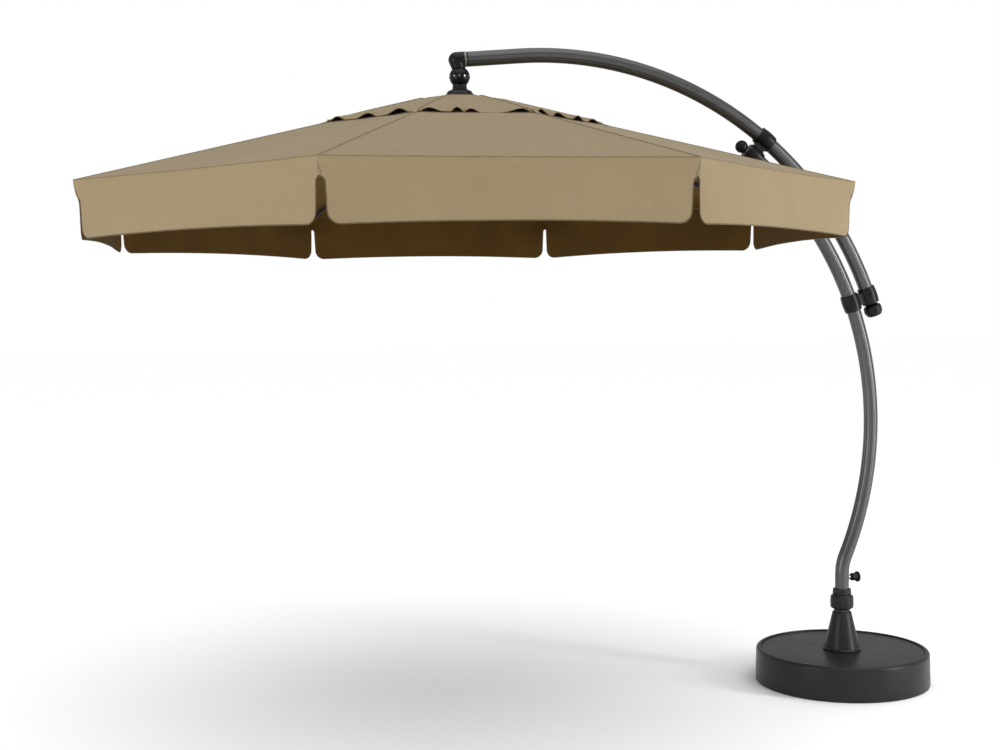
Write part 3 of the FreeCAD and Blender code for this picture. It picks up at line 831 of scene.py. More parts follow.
@dataclass
class Canopy:
    """The octagonal cloth, its hanging edge and its vent cap, in one share for each rib."""

    radius: float = 1.750
    eave: float = 2.404
    rise: float = 0.463
    hole: float = 0.420
    eave_pull: float = 0.023
    sag: float = 0.007
    drop: float = 0.234
    arch: float = 0.065
    slit_top: float = 0.066
    # The slits do not all gape alike: the cloth is drawn tighter at the two corners away from the mast.
    slit_rounds: tuple[float, ...] = (0.019, 0.019, 0.019, 0.019, 0.019, 0.027, 0.023, 0.010)
    corner_round: float = 0.045
    cloth: float = 0.0012
    # Unevenness of the sloping field and of the hanging edge, and how the hanging edge leans and tucks in.
    roof_wave: float = 0.0007
    edge_wave: float = 0.0045
    edge_lean: float = 0.006
    edge_tuck: float = 0.020
    cap_radius: float = 0.655
    cap_inner: float = 0.119
    cover_inner: float = 0.060
    plateau: float = 2.8402
    plateau_radius: float = 0.119
    shelf: float = 2.826
    shelf_radius: float = 0.168
    # A fold of loose cloth stands up on the crown's edge in some bays, by bay, in metres.
    shoulders: tuple[float, ...] = (0.004, 0.0, 0.003, 0.0, 0.002, 0.0, 0.003, 0.008)
    cap_lift: float = 0.013
    cap_pull: float = 0.010
    # The vent cap's free edge: how far in the ruffles reach, their height, and how the edge sinks and sways.
    edge_spread: float = 0.085
    ruffle_height: float = 0.019
    edge_sink: float = 0.010
    flutter: float = 0.006
    # Gathers beside the vent cap's ridges: how far they spread, their depth and their turns in a metre.
    gather_spread: float = 0.028
    gather_depth: float = 0.0035
    gather_turns: float = 190.0
    billow: float = 0.0025
    fold_keep: float = 0.09
    # A share is larger than its level outline by its slope or its ruffles, and smaller by its slits.
    slope_gain: float = 1.04
    slit_loss: float = 0.93
    ruffle_gain: float = 1.06
    # Each bay's ruffles: where one starts and ends along the bay, its height and how far it leans.
    ruffles: tuple[tuple[tuple[float, float, float, float], ...], ...] = (
        ((0.05, 0.24, 0.8, 1.0), (0.32, 0.50, 1.0, 1.4), (0.60, 0.78, 0.7, 0.8), (0.82, 0.96, 0.9, 1.0)),
        ((0.03, 0.20, 0.7, 0.9), (0.28, 0.52, 1.0, 1.2), (0.64, 0.90, 0.9, 1.3)),
        ((0.04, 0.22, 0.9, 1.2), (0.30, 0.44, 0.8, 1.0), (0.52, 0.72, 1.0, 0.8), (0.80, 0.95, 0.8, 1.1)),
        ((0.05, 0.28, 0.8, 1.1), (0.36, 0.60, 1.0, 0.9), (0.70, 0.94, 0.9, 1.2)),
        ((0.02, 0.20, 0.9, 0.9), (0.30, 0.54, 0.9, 1.3), (0.66, 0.93, 1.0, 1.2)),
        ((0.03, 0.22, 0.8, 0.8), (0.29, 0.405, 1.0, 0.9), (0.40, 0.54, 0.8, 0.8), (0.60, 0.97, 0.9, 2.4)),
        ((0.02, 0.22, 1.0, 0.6), (0.26, 0.48, 0.9, 0.7), (0.54, 0.74, 0.9, 0.8), (0.80, 0.98, 0.8, 0.8)),
        ((0.04, 0.24, 0.9, 1.0), (0.32, 0.56, 0.8, 1.2), (0.66, 0.94, 1.0, 0.9)),
    )

    @property
    def slope(self) -> float:
        """Fall of a ridge per metre of radius."""
        return self.rise / self.radius

    def on_chord(
        self, bay: int, radius: np.ndarray, sway: np.ndarray, pull: np.ndarray, height: np.ndarray
    ) -> np.ndarray:
        """Points over the straight line between two neighbouring ribs.

        Args:
            bay: Number of the bay; it lies between the rib of that number and the next.
            radius: Radius at which the line meets the ribs.
            sway: -1 at the first rib, 0 at mid-bay and 1 at the next rib.
            pull: How far the cloth's tension draws the point inward.
            height: Height above the ground.

        Returns:
            The points.
        """
        out, side = azimuth_axes(rib_azimuth(bay) + HALF)
        reach = radius * math.cos(HALF) - pull
        points = CENTRE + reach[..., None] * out + (radius * sway * math.sin(HALF))[..., None] * side
        points[..., 2] = height
        return points

    def quiver(self, bay: int, sway: np.ndarray, seed: float, waves: int) -> np.ndarray:
        """A smooth uneven wave along a bay, the same at every run.

        Args:
            bay: Number of the bay.
            sway: Place along the bay.
            seed: Number that tells one wave from another.
            waves: How many waves are laid over each other.

        Returns:
            The wave's height, within about 2 either way.
        """
        total = np.zeros_like(sway)
        for order in range(1, waves + 1):
            # The usual hash from a sine: a tiny change of its input gives a wholly different phase.
            phase = math.sin(bay * 12.9898 + order * 78.233 + seed) * 43758.5453 % (2 * math.pi)
            total = total + np.sin(order * 2.1 * sway + phase) / order
        return total

    def roof(self, bay: int) -> Surface:
        """The bay's sloping field.

        Args:
            bay: Number of the bay.

        Returns:
            The surface by radius and sway.
        """

        def surface(radius: np.ndarray, sway: np.ndarray) -> np.ndarray:
            """Points of the sloping field.

            Args:
                radius: Radius at which the chord meets the ribs.
                sway: Place along the bay.

            Returns:
                The points.
            """
            tight = 1 - sway**2
            share = (radius / self.radius) ** 1.5
            depth = np.clip((self.radius - radius) / (self.radius - self.hole), 0, 1)
            height = self.eave + self.slope * (self.radius - radius)
            height = height - self.sag * tight * np.sin(np.pi * depth)
            height = height + self.roof_wave * self.quiver(bay, sway + radius * 0.9, 3.0, 4) * tight
            return self.on_chord(bay, radius, sway, self.eave_pull * tight * share, height)

        return surface

    def valance(self, bay: int) -> Surface:
        """The bay's hanging edge.

        Args:
            bay: Number of the bay.

        Returns:
            The surface by drop and sway.
        """

        def surface(drop: np.ndarray, sway: np.ndarray) -> np.ndarray:
            """Points of the hanging edge.

            Args:
                drop: Depth below the eave.
                sway: Place along the bay.

            Returns:
                The points.
            """
            tight = 1 - sway**2
            fall = drop / self.drop
            swing = np.clip(fall, 0, 1.2)
            tuck = self.edge_tuck * np.abs(sway) ** 8 * smooth_step(swing, 0.02, 0.45)
            inward = self.edge_lean * fall + tuck
            inward = inward + self.edge_wave * swing * self.quiver(bay, sway, 0.0, 5) * (1 - sway**4)
            height = self.eave - drop * (1 - self.arch * tight)
            pull = self.eave_pull * tight + inward
            return self.on_chord(bay, np.full_like(drop, self.radius), sway, pull, height)

        return surface

    def ruffle(self, bay: int, sway: np.ndarray) -> np.ndarray:
        """Height of the vent cap's free edge above the roof, as shares of the highest.

        Args:
            bay: Number of the bay.
            sway: Place along the bay.

        Returns:
            The height's share at each place.
        """
        place = (sway + 1) / 2
        total = np.zeros_like(place)
        for first, last, height, skew in self.ruffles[bay]:
            share = np.clip((place - first) / (last - first), 0, 1)
            total = total + height * np.sin(np.pi * share**skew) ** 1.5
        return total

    def cap(self, bay: int) -> Surface:
        """The vent cap's field.

        Args:
            bay: Number of the bay.

        Returns:
            The surface by radius and sway.
        """

        def surface(radius: np.ndarray, sway: np.ndarray) -> np.ndarray:
            """Points of the vent cap.

            Args:
                radius: Radius at which the chord meets the ribs.
                sway: Place along the bay.

            Returns:
                The points.
            """
            tight = np.clip(1 - sway**2, 0, 1)
            edge = np.exp(-(self.cap_radius - radius) / self.edge_spread)
            pull = self.cap_pull * tight * (radius / self.cap_radius) ** 2
            flutter = self.flutter * edge * self.quiver(bay, sway, 7.0, 5) * tight
            ridge = self.eave + self.slope * (self.radius - radius)
            outer = ridge + self.cap_lift - self.edge_sink * edge
            fall = smooth_step(radius, self.plateau_radius, self.shelf_radius)
            drape = smooth_step(radius, self.shelf_radius, self.shelf_radius + 0.055)
            top = self.plateau * (1 - fall) + self.shelf * fall
            fold = self.shoulders[bay] * np.exp(-(((radius - 0.160) / 0.028) ** 2)) * tight
            height = top * (1 - drape) + outer * drape + fold
            height = height + self.ruffle_height * edge * self.ruffle(bay, np.clip(sway, -1, 1))
            gather = np.exp(-((1 - np.abs(sway)) * radius * math.sin(HALF) / self.gather_spread))
            pucker = self.gather_depth * gather * np.sin(radius * self.gather_turns + bay)
            pucker = pucker * smooth_step(radius, 0.10, 0.2)
            billow = self.billow * self.quiver(bay, sway + radius, 5.0, 4) * tight * drape
            return self.on_chord(bay, radius, sway, pull + flutter, height + pucker * tight**0.25 + billow)

        return surface

    def build_share(self, rib: int, finishes: Finishes) -> None:
        """Build the cloth that belongs to one rib: half of each bay beside it.

        Args:
            rib: Number of the rib, from 0.
            finishes: The parasol's materials.
        """
        roof_patches, cap_patches, strips, cap_strips = [], [], [], []
        for side in (-1, 1):
            bay = rib if side > 0 else (rib - 1) % RIBS
            out = azimuth_axes(rib_azimuth(bay) + HALF)[0]
            roof_patches.append(self.roof_patch(bay, side))
            roof_patches.append(self.valance_patch(bay, side, out))
            cap_patches.append(self.cap_patch(bay, side))
            strips += self.valance_strips(bay, side, out)
            cap_strips.append(self.cap_edge(bay, side))
        strips.append(self.ridge_strip(self.roof(rib), self.hole - 0.05, self.radius, 0.0007))
        cap_strips.append(self.ridge_strip(self.cap(rib), self.cap_inner + 0.01, self.cap_radius, 0.0008))
        cap_strips.append(self.corner_tab(rib))
        number = rib + 1
        roof = sew(f"canopy_cloth_{number}", roof_patches, self.cloth, finishes)
        vent = sew(f"vent_cap_{number}", cap_patches, self.cloth, finishes)
        tapes = [
            finishes["seam_welt_brown"],
            finishes["edge_binding_brown"],
            finishes["woven_polyester_khaki"],
        ]
        trim = join_strips(f"canopy_trim_{number}", strips, tapes)
        vent_trim = join_strips(f"vent_trim_{number}", cap_strips, tapes)
        for piece in (roof, vent, trim, vent_trim):
            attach(piece, f"rib_arm_{number}")
            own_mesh(piece)
        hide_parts(f"canopy_panel_{number}")

    def columns(self, count: int, power: float) -> np.ndarray:
        """Shares from a rib, 0, to mid-bay, 1, closer together near the rib."""
        return np.linspace(0, 1, count) ** power

    def fan(
        self, surface: Surface, side: int, radii: np.ndarray, shares: np.ndarray, raw_rows: tuple[int, ...]
    ) -> Patch:
        """Half of a bay of a surface given by radius and sway.

        Args:
            surface: The surface.
            side: 1 for the half beside the bay's own rib, -1 for the other.
            radii: Radius of each row.
            shares: Share of the way to mid-bay of each column.
            raw_rows: Rows whose edge shows.

        Returns:
            The sampled patch.
        """
        radius, share = np.meshgrid(radii, shares, indexing="ij")
        sway = -side * (1 - share)
        bolt = np.stack((sway * radius * math.sin(HALF), radius), axis=-1)
        return make_patch(surface, radius, sway, UP, bolt, raw_rows)

    def roof_patch(self, bay: int, side: int) -> Patch:
        """Half of a bay's sloping field."""
        radii = np.linspace(self.radius, self.hole, 40)
        return self.fan(self.roof(bay), side, radii, self.columns(26, 1.4), (39,))

    def slit_edge(self, drop: np.ndarray, bend: float) -> np.ndarray:
        """Distance from the corner at which the hanging edge's cloth begins.

        Args:
            drop: Depth below the eave.
            bend: Radius of the slit's rounded head.

        Returns:
            The distance at each depth, in metres.
        """
        below = np.maximum(drop - self.slit_top, 0)
        round_top = np.sqrt(np.maximum(2 * bend * below - below**2, 0))
        straight = bend + (below - bend) * 0.05
        edge = np.where(below < bend, round_top, straight)
        left = np.clip(self.drop - drop, 0, self.corner_round)
        corner = self.corner_round - np.sqrt(self.corner_round**2 - (self.corner_round - left) ** 2)
        return np.where(below <= 0, 0.0, edge + corner)

    def valance_rows(self) -> np.ndarray:
        """Drops of the hanging edge's rows, closer together at the slit's head and the rounded corner.

        Returns:
            The drops, in metres.
        """
        head = self.slit_top + np.array((0, 0.0003, 0.0012, 0.003, 0.006, 0.010, 0.015, 0.021))
        foot = self.drop - np.array((0.045, 0.036, 0.028, 0.021, 0.015, 0.010, 0.006, 0.003, 0.001, 0.0))
        upper = np.array((0, 0.002, 0.006, 0.014, 0.026, 0.040, 0.054))
        middle = np.linspace(self.slit_top + 0.028, self.drop - 0.058, 7)
        return np.concatenate((upper, head, middle, foot))

    def valance_grid(self, bay: int, side: int) -> tuple[np.ndarray, np.ndarray]:
        """Place of each vertex of half a bay's hanging edge.

        Args:
            bay: Number of the bay.
            side: 1 for the half beside the bay's own rib, -1 for the other.

        Returns:
            Drop and sway of each vertex.
        """
        half_chord = self.radius * math.sin(HALF)
        drop, share = np.meshgrid(self.valance_rows(), self.columns(30, 1.3), indexing="ij")
        rib = bay if side > 0 else (bay + 1) % RIBS
        edge = self.slit_edge(drop, self.slit_rounds[rib])
        reach = edge + (half_chord - edge) * share
        return drop, -side * (1 - reach / half_chord)

    def valance_patch(self, bay: int, side: int, out: np.ndarray) -> Patch:
        """Half of a bay's hanging edge.

        Args:
            bay: Number of the bay.
            side: 1 for the half beside the bay's own rib, -1 for the other.
            out: Outward direction at mid-bay.

        Returns:
            The sampled patch.
        """
        drop, sway = self.valance_grid(bay, side)
        bolt = np.stack((sway * self.radius * math.sin(HALF), self.radius + drop), axis=-1)
        return make_patch(self.valance(bay), drop, sway, out, bolt, (len(drop) - 1,), True)

    def valance_strips(self, bay: int, side: int, out: np.ndarray) -> list[Strip]:
        """The eave's welt and the binding round the hanging edge's free rim.

        Args:
            bay: Number of the bay.
            side: 1 for the half beside the bay's own rib, -1 for the other.
            out: Outward direction at mid-bay.

        Returns:
            Both strips.
        """
        drop, sway = self.valance_grid(bay, side)
        surface = self.valance(bay)
        eave = surface(drop[:1], sway[:1])[0]
        first = int(np.searchsorted(drop[:, 0], self.slit_top, side="right"))
        slit = surface(drop[first:, :1], sway[first:, :1])[:, 0]
        hem = surface(drop[-1:], sway[-1:])[0]
        rim = self.even(np.vstack((slit[:-1], hem)) - out * self.cloth / 2, 0.006)
        return [EAVE_WELT.sweep(eave - out * 0.0002, out), RIM_BINDING.sweep(rim, out, 1)]

    def even(self, path: np.ndarray, spacing: float) -> np.ndarray:
        """Space a path's points evenly.

        Args:
            path: Points of the path, one per row.
            spacing: Distance between points, in metres.

        Returns:
            The new points.
        """
        steps = np.linalg.norm(np.diff(path, axis=0), axis=1)
        keep = np.concatenate(([True], steps > SAME_PLACE))
        path = path[keep]
        run = np.concatenate(([0], np.cumsum(np.linalg.norm(np.diff(path, axis=0), axis=1))))
        stops = np.linspace(0, run[-1], max(int(run[-1] / spacing), 4))
        return np.stack([np.interp(stops, run, path[:, axis]) for axis in range(3)], axis=1)

    def ridge_strip(self, surface: Surface, inner: float, outer: float, proud: float) -> Strip:
        """The felled seam along a ridge.

        Args:
            surface: The surface it is sewn on.
            inner: Radius at its inner end.
            outer: Radius at its outer end.
            proud: How far its middle stands above the surface.

        Returns:
            The strip.
        """
        radius = np.linspace(outer, inner, 60)
        path = surface(radius, np.full_like(radius, -1.0)) + proud * UP
        return RIDGE_SEAM.sweep(path, UP)

    def cap_patch(self, bay: int, side: int) -> Patch:
        """Half of a bay of the vent cap.

        Args:
            bay: Number of the bay.
            side: 1 for the half beside the bay's own rib, -1 for the other.

        Returns:
            The sampled patch.
        """
        outer_rows = np.linspace(self.cap_radius, 0.46, 16)
        radii = np.concatenate((outer_rows, np.linspace(0.44, self.cap_inner, 30)))
        return self.fan(self.cap(bay), side, radii, self.columns(44, 1.15), (0, len(radii) - 1))

    def cover_patch(self, bay: int, side: int) -> Patch:
        """Half of a bay of the patch over the crown, half a cloth's thickness above the vent cap.

        Args:
            bay: Number of the bay.
            side: 1 for the half beside the bay's own rib, -1 for the other.

        Returns:
            The sampled patch.
        """

        def surface(radius: np.ndarray, sway: np.ndarray) -> np.ndarray:
            """Points of the patch."""
            return self.cap(bay)(radius, sway) + self.cloth / 2 * UP

        radii = np.linspace(self.cap_inner + 0.004, self.cover_inner, 14)
        return self.fan(surface, side, radii, self.columns(20, 1.15), (0, 13))

    def build_cover(self, finishes: Finishes) -> None:
        """Build the round patch that stays on the crown when the ribs fold.

        Args:
            finishes: The parasol's materials.
        """
        patches = [self.cover_patch(bay, side) for bay in range(RIBS) for side in (-1, 1)]
        cover = sew("crown_cover", patches, self.cloth, finishes)
        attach(cover, "canopy_hub")

    def cap_edge(self, bay: int, side: int) -> Strip:
        """The rolled hem along the vent cap's free edge.

        Args:
            bay: Number of the bay.
            side: 1 for the half beside the bay's own rib, -1 for the other.

        Returns:
            The strip.
        """
        sway = -side * (1 - np.linspace(0, 1, 90))
        path = self.cap(bay)(np.full_like(sway, self.cap_radius), sway) - self.cloth / 2 * UP
        return CAP_HEM.sweep(path, UP)

    def corner_tab(self, rib: int) -> Strip:
        """The short loop that ties the vent cap's corner down to the ridge.

        Args:
            rib: Number of the rib, from 0.

        Returns:
            The strip.
        """
        out = azimuth_axes(rib_azimuth(rib))[0]
        share = np.linspace(0, 1, 14)
        reach = self.cap_radius - 0.030 + 0.062 * share
        ridge = self.eave + self.slope * (self.radius - reach)
        height = ridge + 0.0015 + (self.cap_lift - 0.006) * (1 - smooth_step(share, 0.35, 0.8))
        path = CENTRE + reach[:, None] * out + height[:, None] * UP
        return CORNER_TAB.sweep(path, UP, 2)

    def build(self, finishes: Finishes) -> None:
        """Build every rib's share of the cloth, and the patch over the crown.

        Args:
            finishes: The parasol's materials.
        """
        for rib in range(RIBS):
            self.build_share(rib, finishes)
        self.build_cover(finishes)
        LOG.info("canopy: %d shares of cloth with their trims", RIBS)


# ------------------------------------------------------------------ tubes
@dataclass
class FlutedTube:
    """Round tube with shallow lengthwise flutes, bent along a path in the plane of mast and arm."""

    node: str
    body: str
    radius: float = 0.034
    wall: float = 0.0025
    flutes: int = 10
    flute_width: float = 0.0052
    flute_depth: float = 0.0013
    first_flute: float = 18.0
    round_points: int = 160

    def section(self) -> list[tuple[float, float]]:
        """Outline of the tube's outside.

        Returns:
            Angle and radius of each point.
        """
        points = []
        pitch = 2 * math.pi / self.flutes
        reach = self.flute_width / self.radius / 2
        for step in range(self.round_points):
            turn = 2 * math.pi * step / self.round_points
            off = (turn - math.radians(self.first_flute)) % pitch
            off = min(off, pitch - off)
            dent = 0.5 + 0.5 * math.cos(math.pi * off / reach) if off < reach else 0.0
            points.append((turn, self.radius - self.flute_depth * dent))
        return points

    def sweep(self, name: str, path: Sequence[tuple[Vector, Vector]], material: bpy.types.Material) -> None:
        """Build the tube along a path.

        Args:
            name: The object's name.
            path: Centre point and outward direction at each stop.
            material: The tube's finish.
        """
        outside = self.section()
        inside = [(turn, self.radius - self.wall) for turn, _ in outside]
        sideways = Vector((0, 1, 0))
        hoops = [(stop, outside) for stop in path] + [(stop, inside) for stop in reversed(path)]
        points = []
        for (centre, out), section in hoops:
            for turn, radius in section:
                points.append(centre + out * (radius * math.cos(turn)) + sideways * (radius * math.sin(turn)))
        # One more round of faces closes the tube's two ends on each other through its wall.
        count = len(points)
        faces = [tuple(at % count for at in face) for face in hoop_faces(len(hoops) + 1, self.round_points)]
        made = mesh_object(name, np.array([tuple(p) for p in points]), faces, [material])
        made.data.set_sharp_from_angle(angle=math.radians(60))
        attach(made, self.body)
        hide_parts(self.node)
        LOG.info("%s: %d stops along its path", name, len(path))


def arc_stop(angle: float, radius: float) -> tuple[Vector, Vector]:
    """Find a stop on a circle round the shared arc's centre.

    Args:
        angle: Degrees round the arc.
        radius: The circle's radius, in metres.

    Returns:
        The point and the outward direction there.
    """
    turn = math.radians(angle)
    out = Vector((math.cos(turn), 0, math.sin(turn)))
    return Vector((ARC_X, 0, ARC_Z)) + out * radius, out


def carry(made: bpy.types.Object, place: Vector, out: Vector) -> None:
    """Carry a piece turned about Z to a place on a tube, with its X outward and its Z along the tube.

    Args:
        made: The piece, its mesh still round the origin.
        place: Where its origin goes.
        out: The tube's outward direction there.
    """
    frame = Matrix((out, Vector((0, 1, 0)), Vector((-out.z, 0, out.x)))).transposed().to_4x4()
    frame.translation = place
    made.data.transform(frame)


@dataclass
class Mast:
    """The lower tube: straight foot, small outward bend and long arc."""

    foot: float = 0.304
    bend: float = 0.240
    top_angle: float = 51.9
    foot_stops: int = 6
    bend_stops: int = 20
    arc_stops: int = 90

    def path(self) -> list[tuple[Vector, Vector]]:
        """Stops from the foot to the head.

        Returns:
            Centre point and outward direction at each stop.
        """
        across = self.bend - ARC_X
        reach = MAST_ARC + self.bend
        bend_z = ARC_Z - math.sqrt(reach**2 - across**2)
        turn = math.asin((ARC_Z - bend_z) / reach)
        stops = []
        for step in range(self.foot_stops):
            height = self.foot + (bend_z - self.foot) * step / self.foot_stops
            stops.append((Vector((0, 0, height)), Vector((1, 0, 0))))
        for step in range(self.bend_stops):
            angle = turn * step / self.bend_stops
            out = Vector((math.cos(angle), 0, -math.sin(angle)))
            stops.append((Vector((self.bend, 0, bend_z)) - out * self.bend, out))
        first = -math.degrees(turn)
        for step in range(self.arc_stops + 1):
            stops.append(arc_stop(first + (self.top_angle - first) * step / self.arc_stops, MAST_ARC))
        return stops

    def build(self, finishes: Finishes) -> None:
        """Build the mast's tube."""
        FlutedTube("mast_tube", "mast").sweep("mast_profile", self.path(), finishes["powder_coat_anthracite"])


@dataclass
class Arm:
    """The upper tube: an arc with the same centre as the mast's, and a straight end into the elbow."""

    foot_angle: float = 21.6
    straight_angle: float = 95.6
    head_x: float = -1.910
    ring_x: tuple[float, float] = (-1.9168, -1.9272)
    ring_radius: float = 36.1
    arc_stops: int = 110
    end_stops: int = 8

    def end_point(self, x: float) -> Vector:
        """Find the point of the straight end's axis at a place along X.

        Args:
            x: The place, in metres.

        Returns:
            The point.
        """
        start, out = arc_stop(self.straight_angle, ARM_ARC)
        ahead = Vector((-out.z, 0, out.x))
        return start + ahead * ((x - start.x) / ahead.x)

    def path(self) -> list[tuple[Vector, Vector]]:
        """Stops from the foot to the head.

        Returns:
            Centre point and outward direction at each stop.
        """
        sweep = self.straight_angle - self.foot_angle
        stops = []
        for step in range(self.arc_stops + 1):
            stops.append(arc_stop(self.foot_angle + sweep * step / self.arc_stops, ARM_ARC))
        start, out = stops[-1]
        head = self.end_point(self.head_x)
        for step in range(1, self.end_stops + 1):
            stops.append((start.lerp(head, step / self.end_stops), out))
        return stops

    def build(self, finishes: Finishes) -> None:
        """Build the arm's tube and the bright ring that shows between tube and elbow.

        Args:
            finishes: The parasol's materials.
        """
        FlutedTube("arm_tube", "arm").sweep("arm_profile", self.path(), finishes["powder_coat_anthracite"])
        first, last = (self.end_point(x) for x in self.ring_x)
        length = (last - first).length * MM_PER_M
        rim = self.ring_radius
        profile = fillet_profile([(35, 0, 0), (rim, 0.3, 0.6), (rim, length - 0.3, 0.6), (35, length, 0)], 4)
        ring = lathe("elbow_ring", profile, finishes["powder_coat_grey_ring"], 96)
        carry(ring, first, arc_stop(self.straight_angle, ARM_ARC)[1])
        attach(ring, "arm")


# ------------------------------------------------------------------ castings and mouldings
@dataclass
class Casting:
    """A cast or moulded piece whose edges and inner corners run into each other softly."""

    node: str
    body: str
    slot: str
    finish: str
    voxel: float = 0.0016
    passes: int = 6

    def shape(self, mesh: bpy.types.Mesh) -> None:
        """Change the shape before it is softened; most pieces keep theirs."""

    def build(self, frame: dict, finishes: Finishes) -> None:
        """Build the softened piece from a copy of its node's shape.

        Args:
            finishes: The parasol's materials.
        """
        mesh = frame["nodes"][self.node].data.copy()
        self.shape(mesh)
        made = bpy.data.objects.new(f"{self.node}_cast", mesh)
        bpy.context.scene.collection.objects.link(made)
        remesh = made.modifiers.new("skin", "REMESH")
        remesh.mode = "VOXEL"
        remesh.voxel_size = self.voxel
        relax = made.modifiers.new("soften", "SMOOTH")
        relax.factor = 0.5
        relax.iterations = self.passes
        dg = bpy.context.evaluated_depsgraph_get()
        final = bpy.data.meshes.new_from_object(made.evaluated_get(dg))
        made.modifiers.clear()
        made.data = final
        final.materials.clear()
        final.materials.append(finishes[self.finish])
        final.polygons.foreach_set("material_index", [0] * len(final.polygons))
        final.polygons.foreach_set("use_smooth", [True] * len(final.polygons))
        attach(made, self.body)
        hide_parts(self.node)
        LOG.info("%s: %d faces", made.name, len(final.polygons))


@dataclass
class NeckCasting(Casting):
    """The neck below the ball, with a domed flange that stands proud of the vent cap."""

    neck_radius: float = 0.034
    flange_foot: float = 2.841
    flange_head: float = 2.862
    growth: float = 2.0

    def shape(self, mesh: bpy.types.Mesh) -> None:
        """Make the flange's dome higher.

        Args:
            mesh: Copy of the node's mesh, changed in place.
        """
        for vertex in mesh.vertices:
            radius = math.hypot(vertex.co.x - HUB[0], vertex.co.y - HUB[1])
            if radius > self.neck_radius and self.flange_foot < vertex.co.z < self.flange_head:
                vertex.co.z = self.flange_foot + (vertex.co.z - self.flange_foot) * self.growth


@dataclass
class CrownCasting(Casting):
    """The disc that carries the rib pivots, its top edge falling away below the vent cap."""

    flat_radius: float = 0.108
    rim_radius: float = 0.146
    rim: float = 2.8225

    def shape(self, mesh: bpy.types.Mesh) -> None:
        """Let the top fall away outside the pivots.

        Args:
            mesh: Copy of the node's mesh, changed in place.
        """
        points = np.empty(len(mesh.vertices) * 3)
        mesh.vertices.foreach_get("co", points)
        points = points.reshape(-1, 3)
        radius = np.hypot(points[:, 0] - HUB[0], points[:, 1] - HUB[1])
        top = points[:, 2].max()
        share = np.clip((radius - self.flat_radius) / (self.rim_radius - self.flat_radius), 0, 1)
        points[:, 2] = np.minimum(points[:, 2], top - (top - self.rim) * share)
        mesh.vertices.foreach_set("co", points.ravel())
        mesh.update()


@dataclass
class BaseStand:
    """The round weighted base: tub, lid, cone, ring nut and foot ring, all sizes in millimetres."""

    radius: float
    height: float
    top_radius: float = 423.0
    lid_radius: float = 398.0
    nut_radius: float = 57.0
    nut_grip: tuple[float, float] = (376.0, 423.0)
    grip_band: float = 2.5
    scallops: int = 12
    scallop_depth: float = 2.0

    def turned(
        self,
        name: str,
        node: str,
        body: str,
        corners: Sequence[Corner],
        material: bpy.types.Material,
        wobble: Callable[[float, float, float], float] | None = None,
        segments: int = 192,
    ) -> None:
        """Turn one piece and let it stand for its node.

        Args:
            name: The object's name.
            node: The node it stands for.
            body: The body it rides on.
            corners: Radius, height and fillet of each corner, in millimetres.
            material: The piece's finish.
            wobble: Change of radius for grips.
            segments: Number of steps round the axis.
        """
        made = lathe(name, fillet_profile(corners), material, segments, wobble)
        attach(made, body)
        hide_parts(node)

    def grip(self, radius: float, height: float, turn: float) -> float:
        """Scallops round the ring nut's outside.

        Args:
            radius: Radius of the point, in metres.
            height: Height of the point, in metres.
            turn: Angle of the point.

        Returns:
            Change of the radius, in metres.
        """
        low, high = self.nut_grip
        outside = radius * MM_PER_M >= self.nut_radius - self.grip_band
        if not outside or not low < height * MM_PER_M < high:
            return 0.0
        scallop = max(0.0, math.cos(self.scallops * turn + math.pi)) ** 2
        return -self.scallop_depth / MM_PER_M * scallop

    def build_tub(self, finishes: Finishes) -> None:
        """Build the tub with its round shoulder and the dished lid inside it.

        Args:
            finishes: The parasol's materials.
        """
        radius, top, height, lid = self.radius, self.top_radius, self.height, self.lid_radius
        resin = finishes["moulded_plastic_base"]
        self.turned(
            "tub_shell", "base_tub", "base",
            [(radius - 60, 0, 0), (radius, 0, 8), (top, height, 16), (lid + 1, height, 4),
             (lid + 1, height - 14, 0)],
            resin,
        )
        self.turned(
            "lid_disc", "base_lid", "base",
            [(lid, height - 14, 0), (lid, height - 6, 3), (150, height - 8, 60), (70, height - 7, 1),
             (70, height - 12, 0)],
            resin,
        )

    def build_foot(self, finishes: Finishes) -> None:
        """Build the cone, the ring nut and the collar round the mast's foot.

        Args:
            finishes: The parasol's materials.
        """
        resin = finishes["moulded_plastic_base"]
        lid_z = self.height - 6
        nut = self.nut_radius
        self.turned(
            "foot_cone", "base_cone", "base",
            [(90, lid_z + 0.2, 0), (93, lid_z + 0.2, 1), (93, lid_z + 6, 2), (87, lid_z + 12, 8),
             (47, 346, 3), (43, 352, 2.5), (38.4, 352, 0), (38.4, 340, 0)],
            resin,
        )
        self.turned(
            "ring_nut", "clamp_nut", "foot_nut_ring",
            [(38.6, 366, 0), (38.6, 363, 0), (42, 363, 2), (nut - 1, 372, 3), (nut, 385, 30), (nut, 409, 30),
             (nut - 1, 426, 3), (nut - 11, 436, 2), (35.2, 436, 0), (35.2, 428, 0)],
            resin, self.grip, 240,
        )
        self.turned(
            "foot_collar", "foot_ring", "mast",
            [(34.2, 442, 0), (34.2, 440, 0), (46, 440, 2.5), (44.5, 464, 3), (40, 466.6, 2), (34.2, 467, 0)],
            resin,
        )

    def build(self, finishes: Finishes) -> None:
        """Build the base's turned pieces.

        Args:
            finishes: The parasol's materials.
        """
        self.build_tub(finishes)
        self.build_foot(finishes)
        LOG.info("base: tub, lid, cone, ring nut and foot collar")


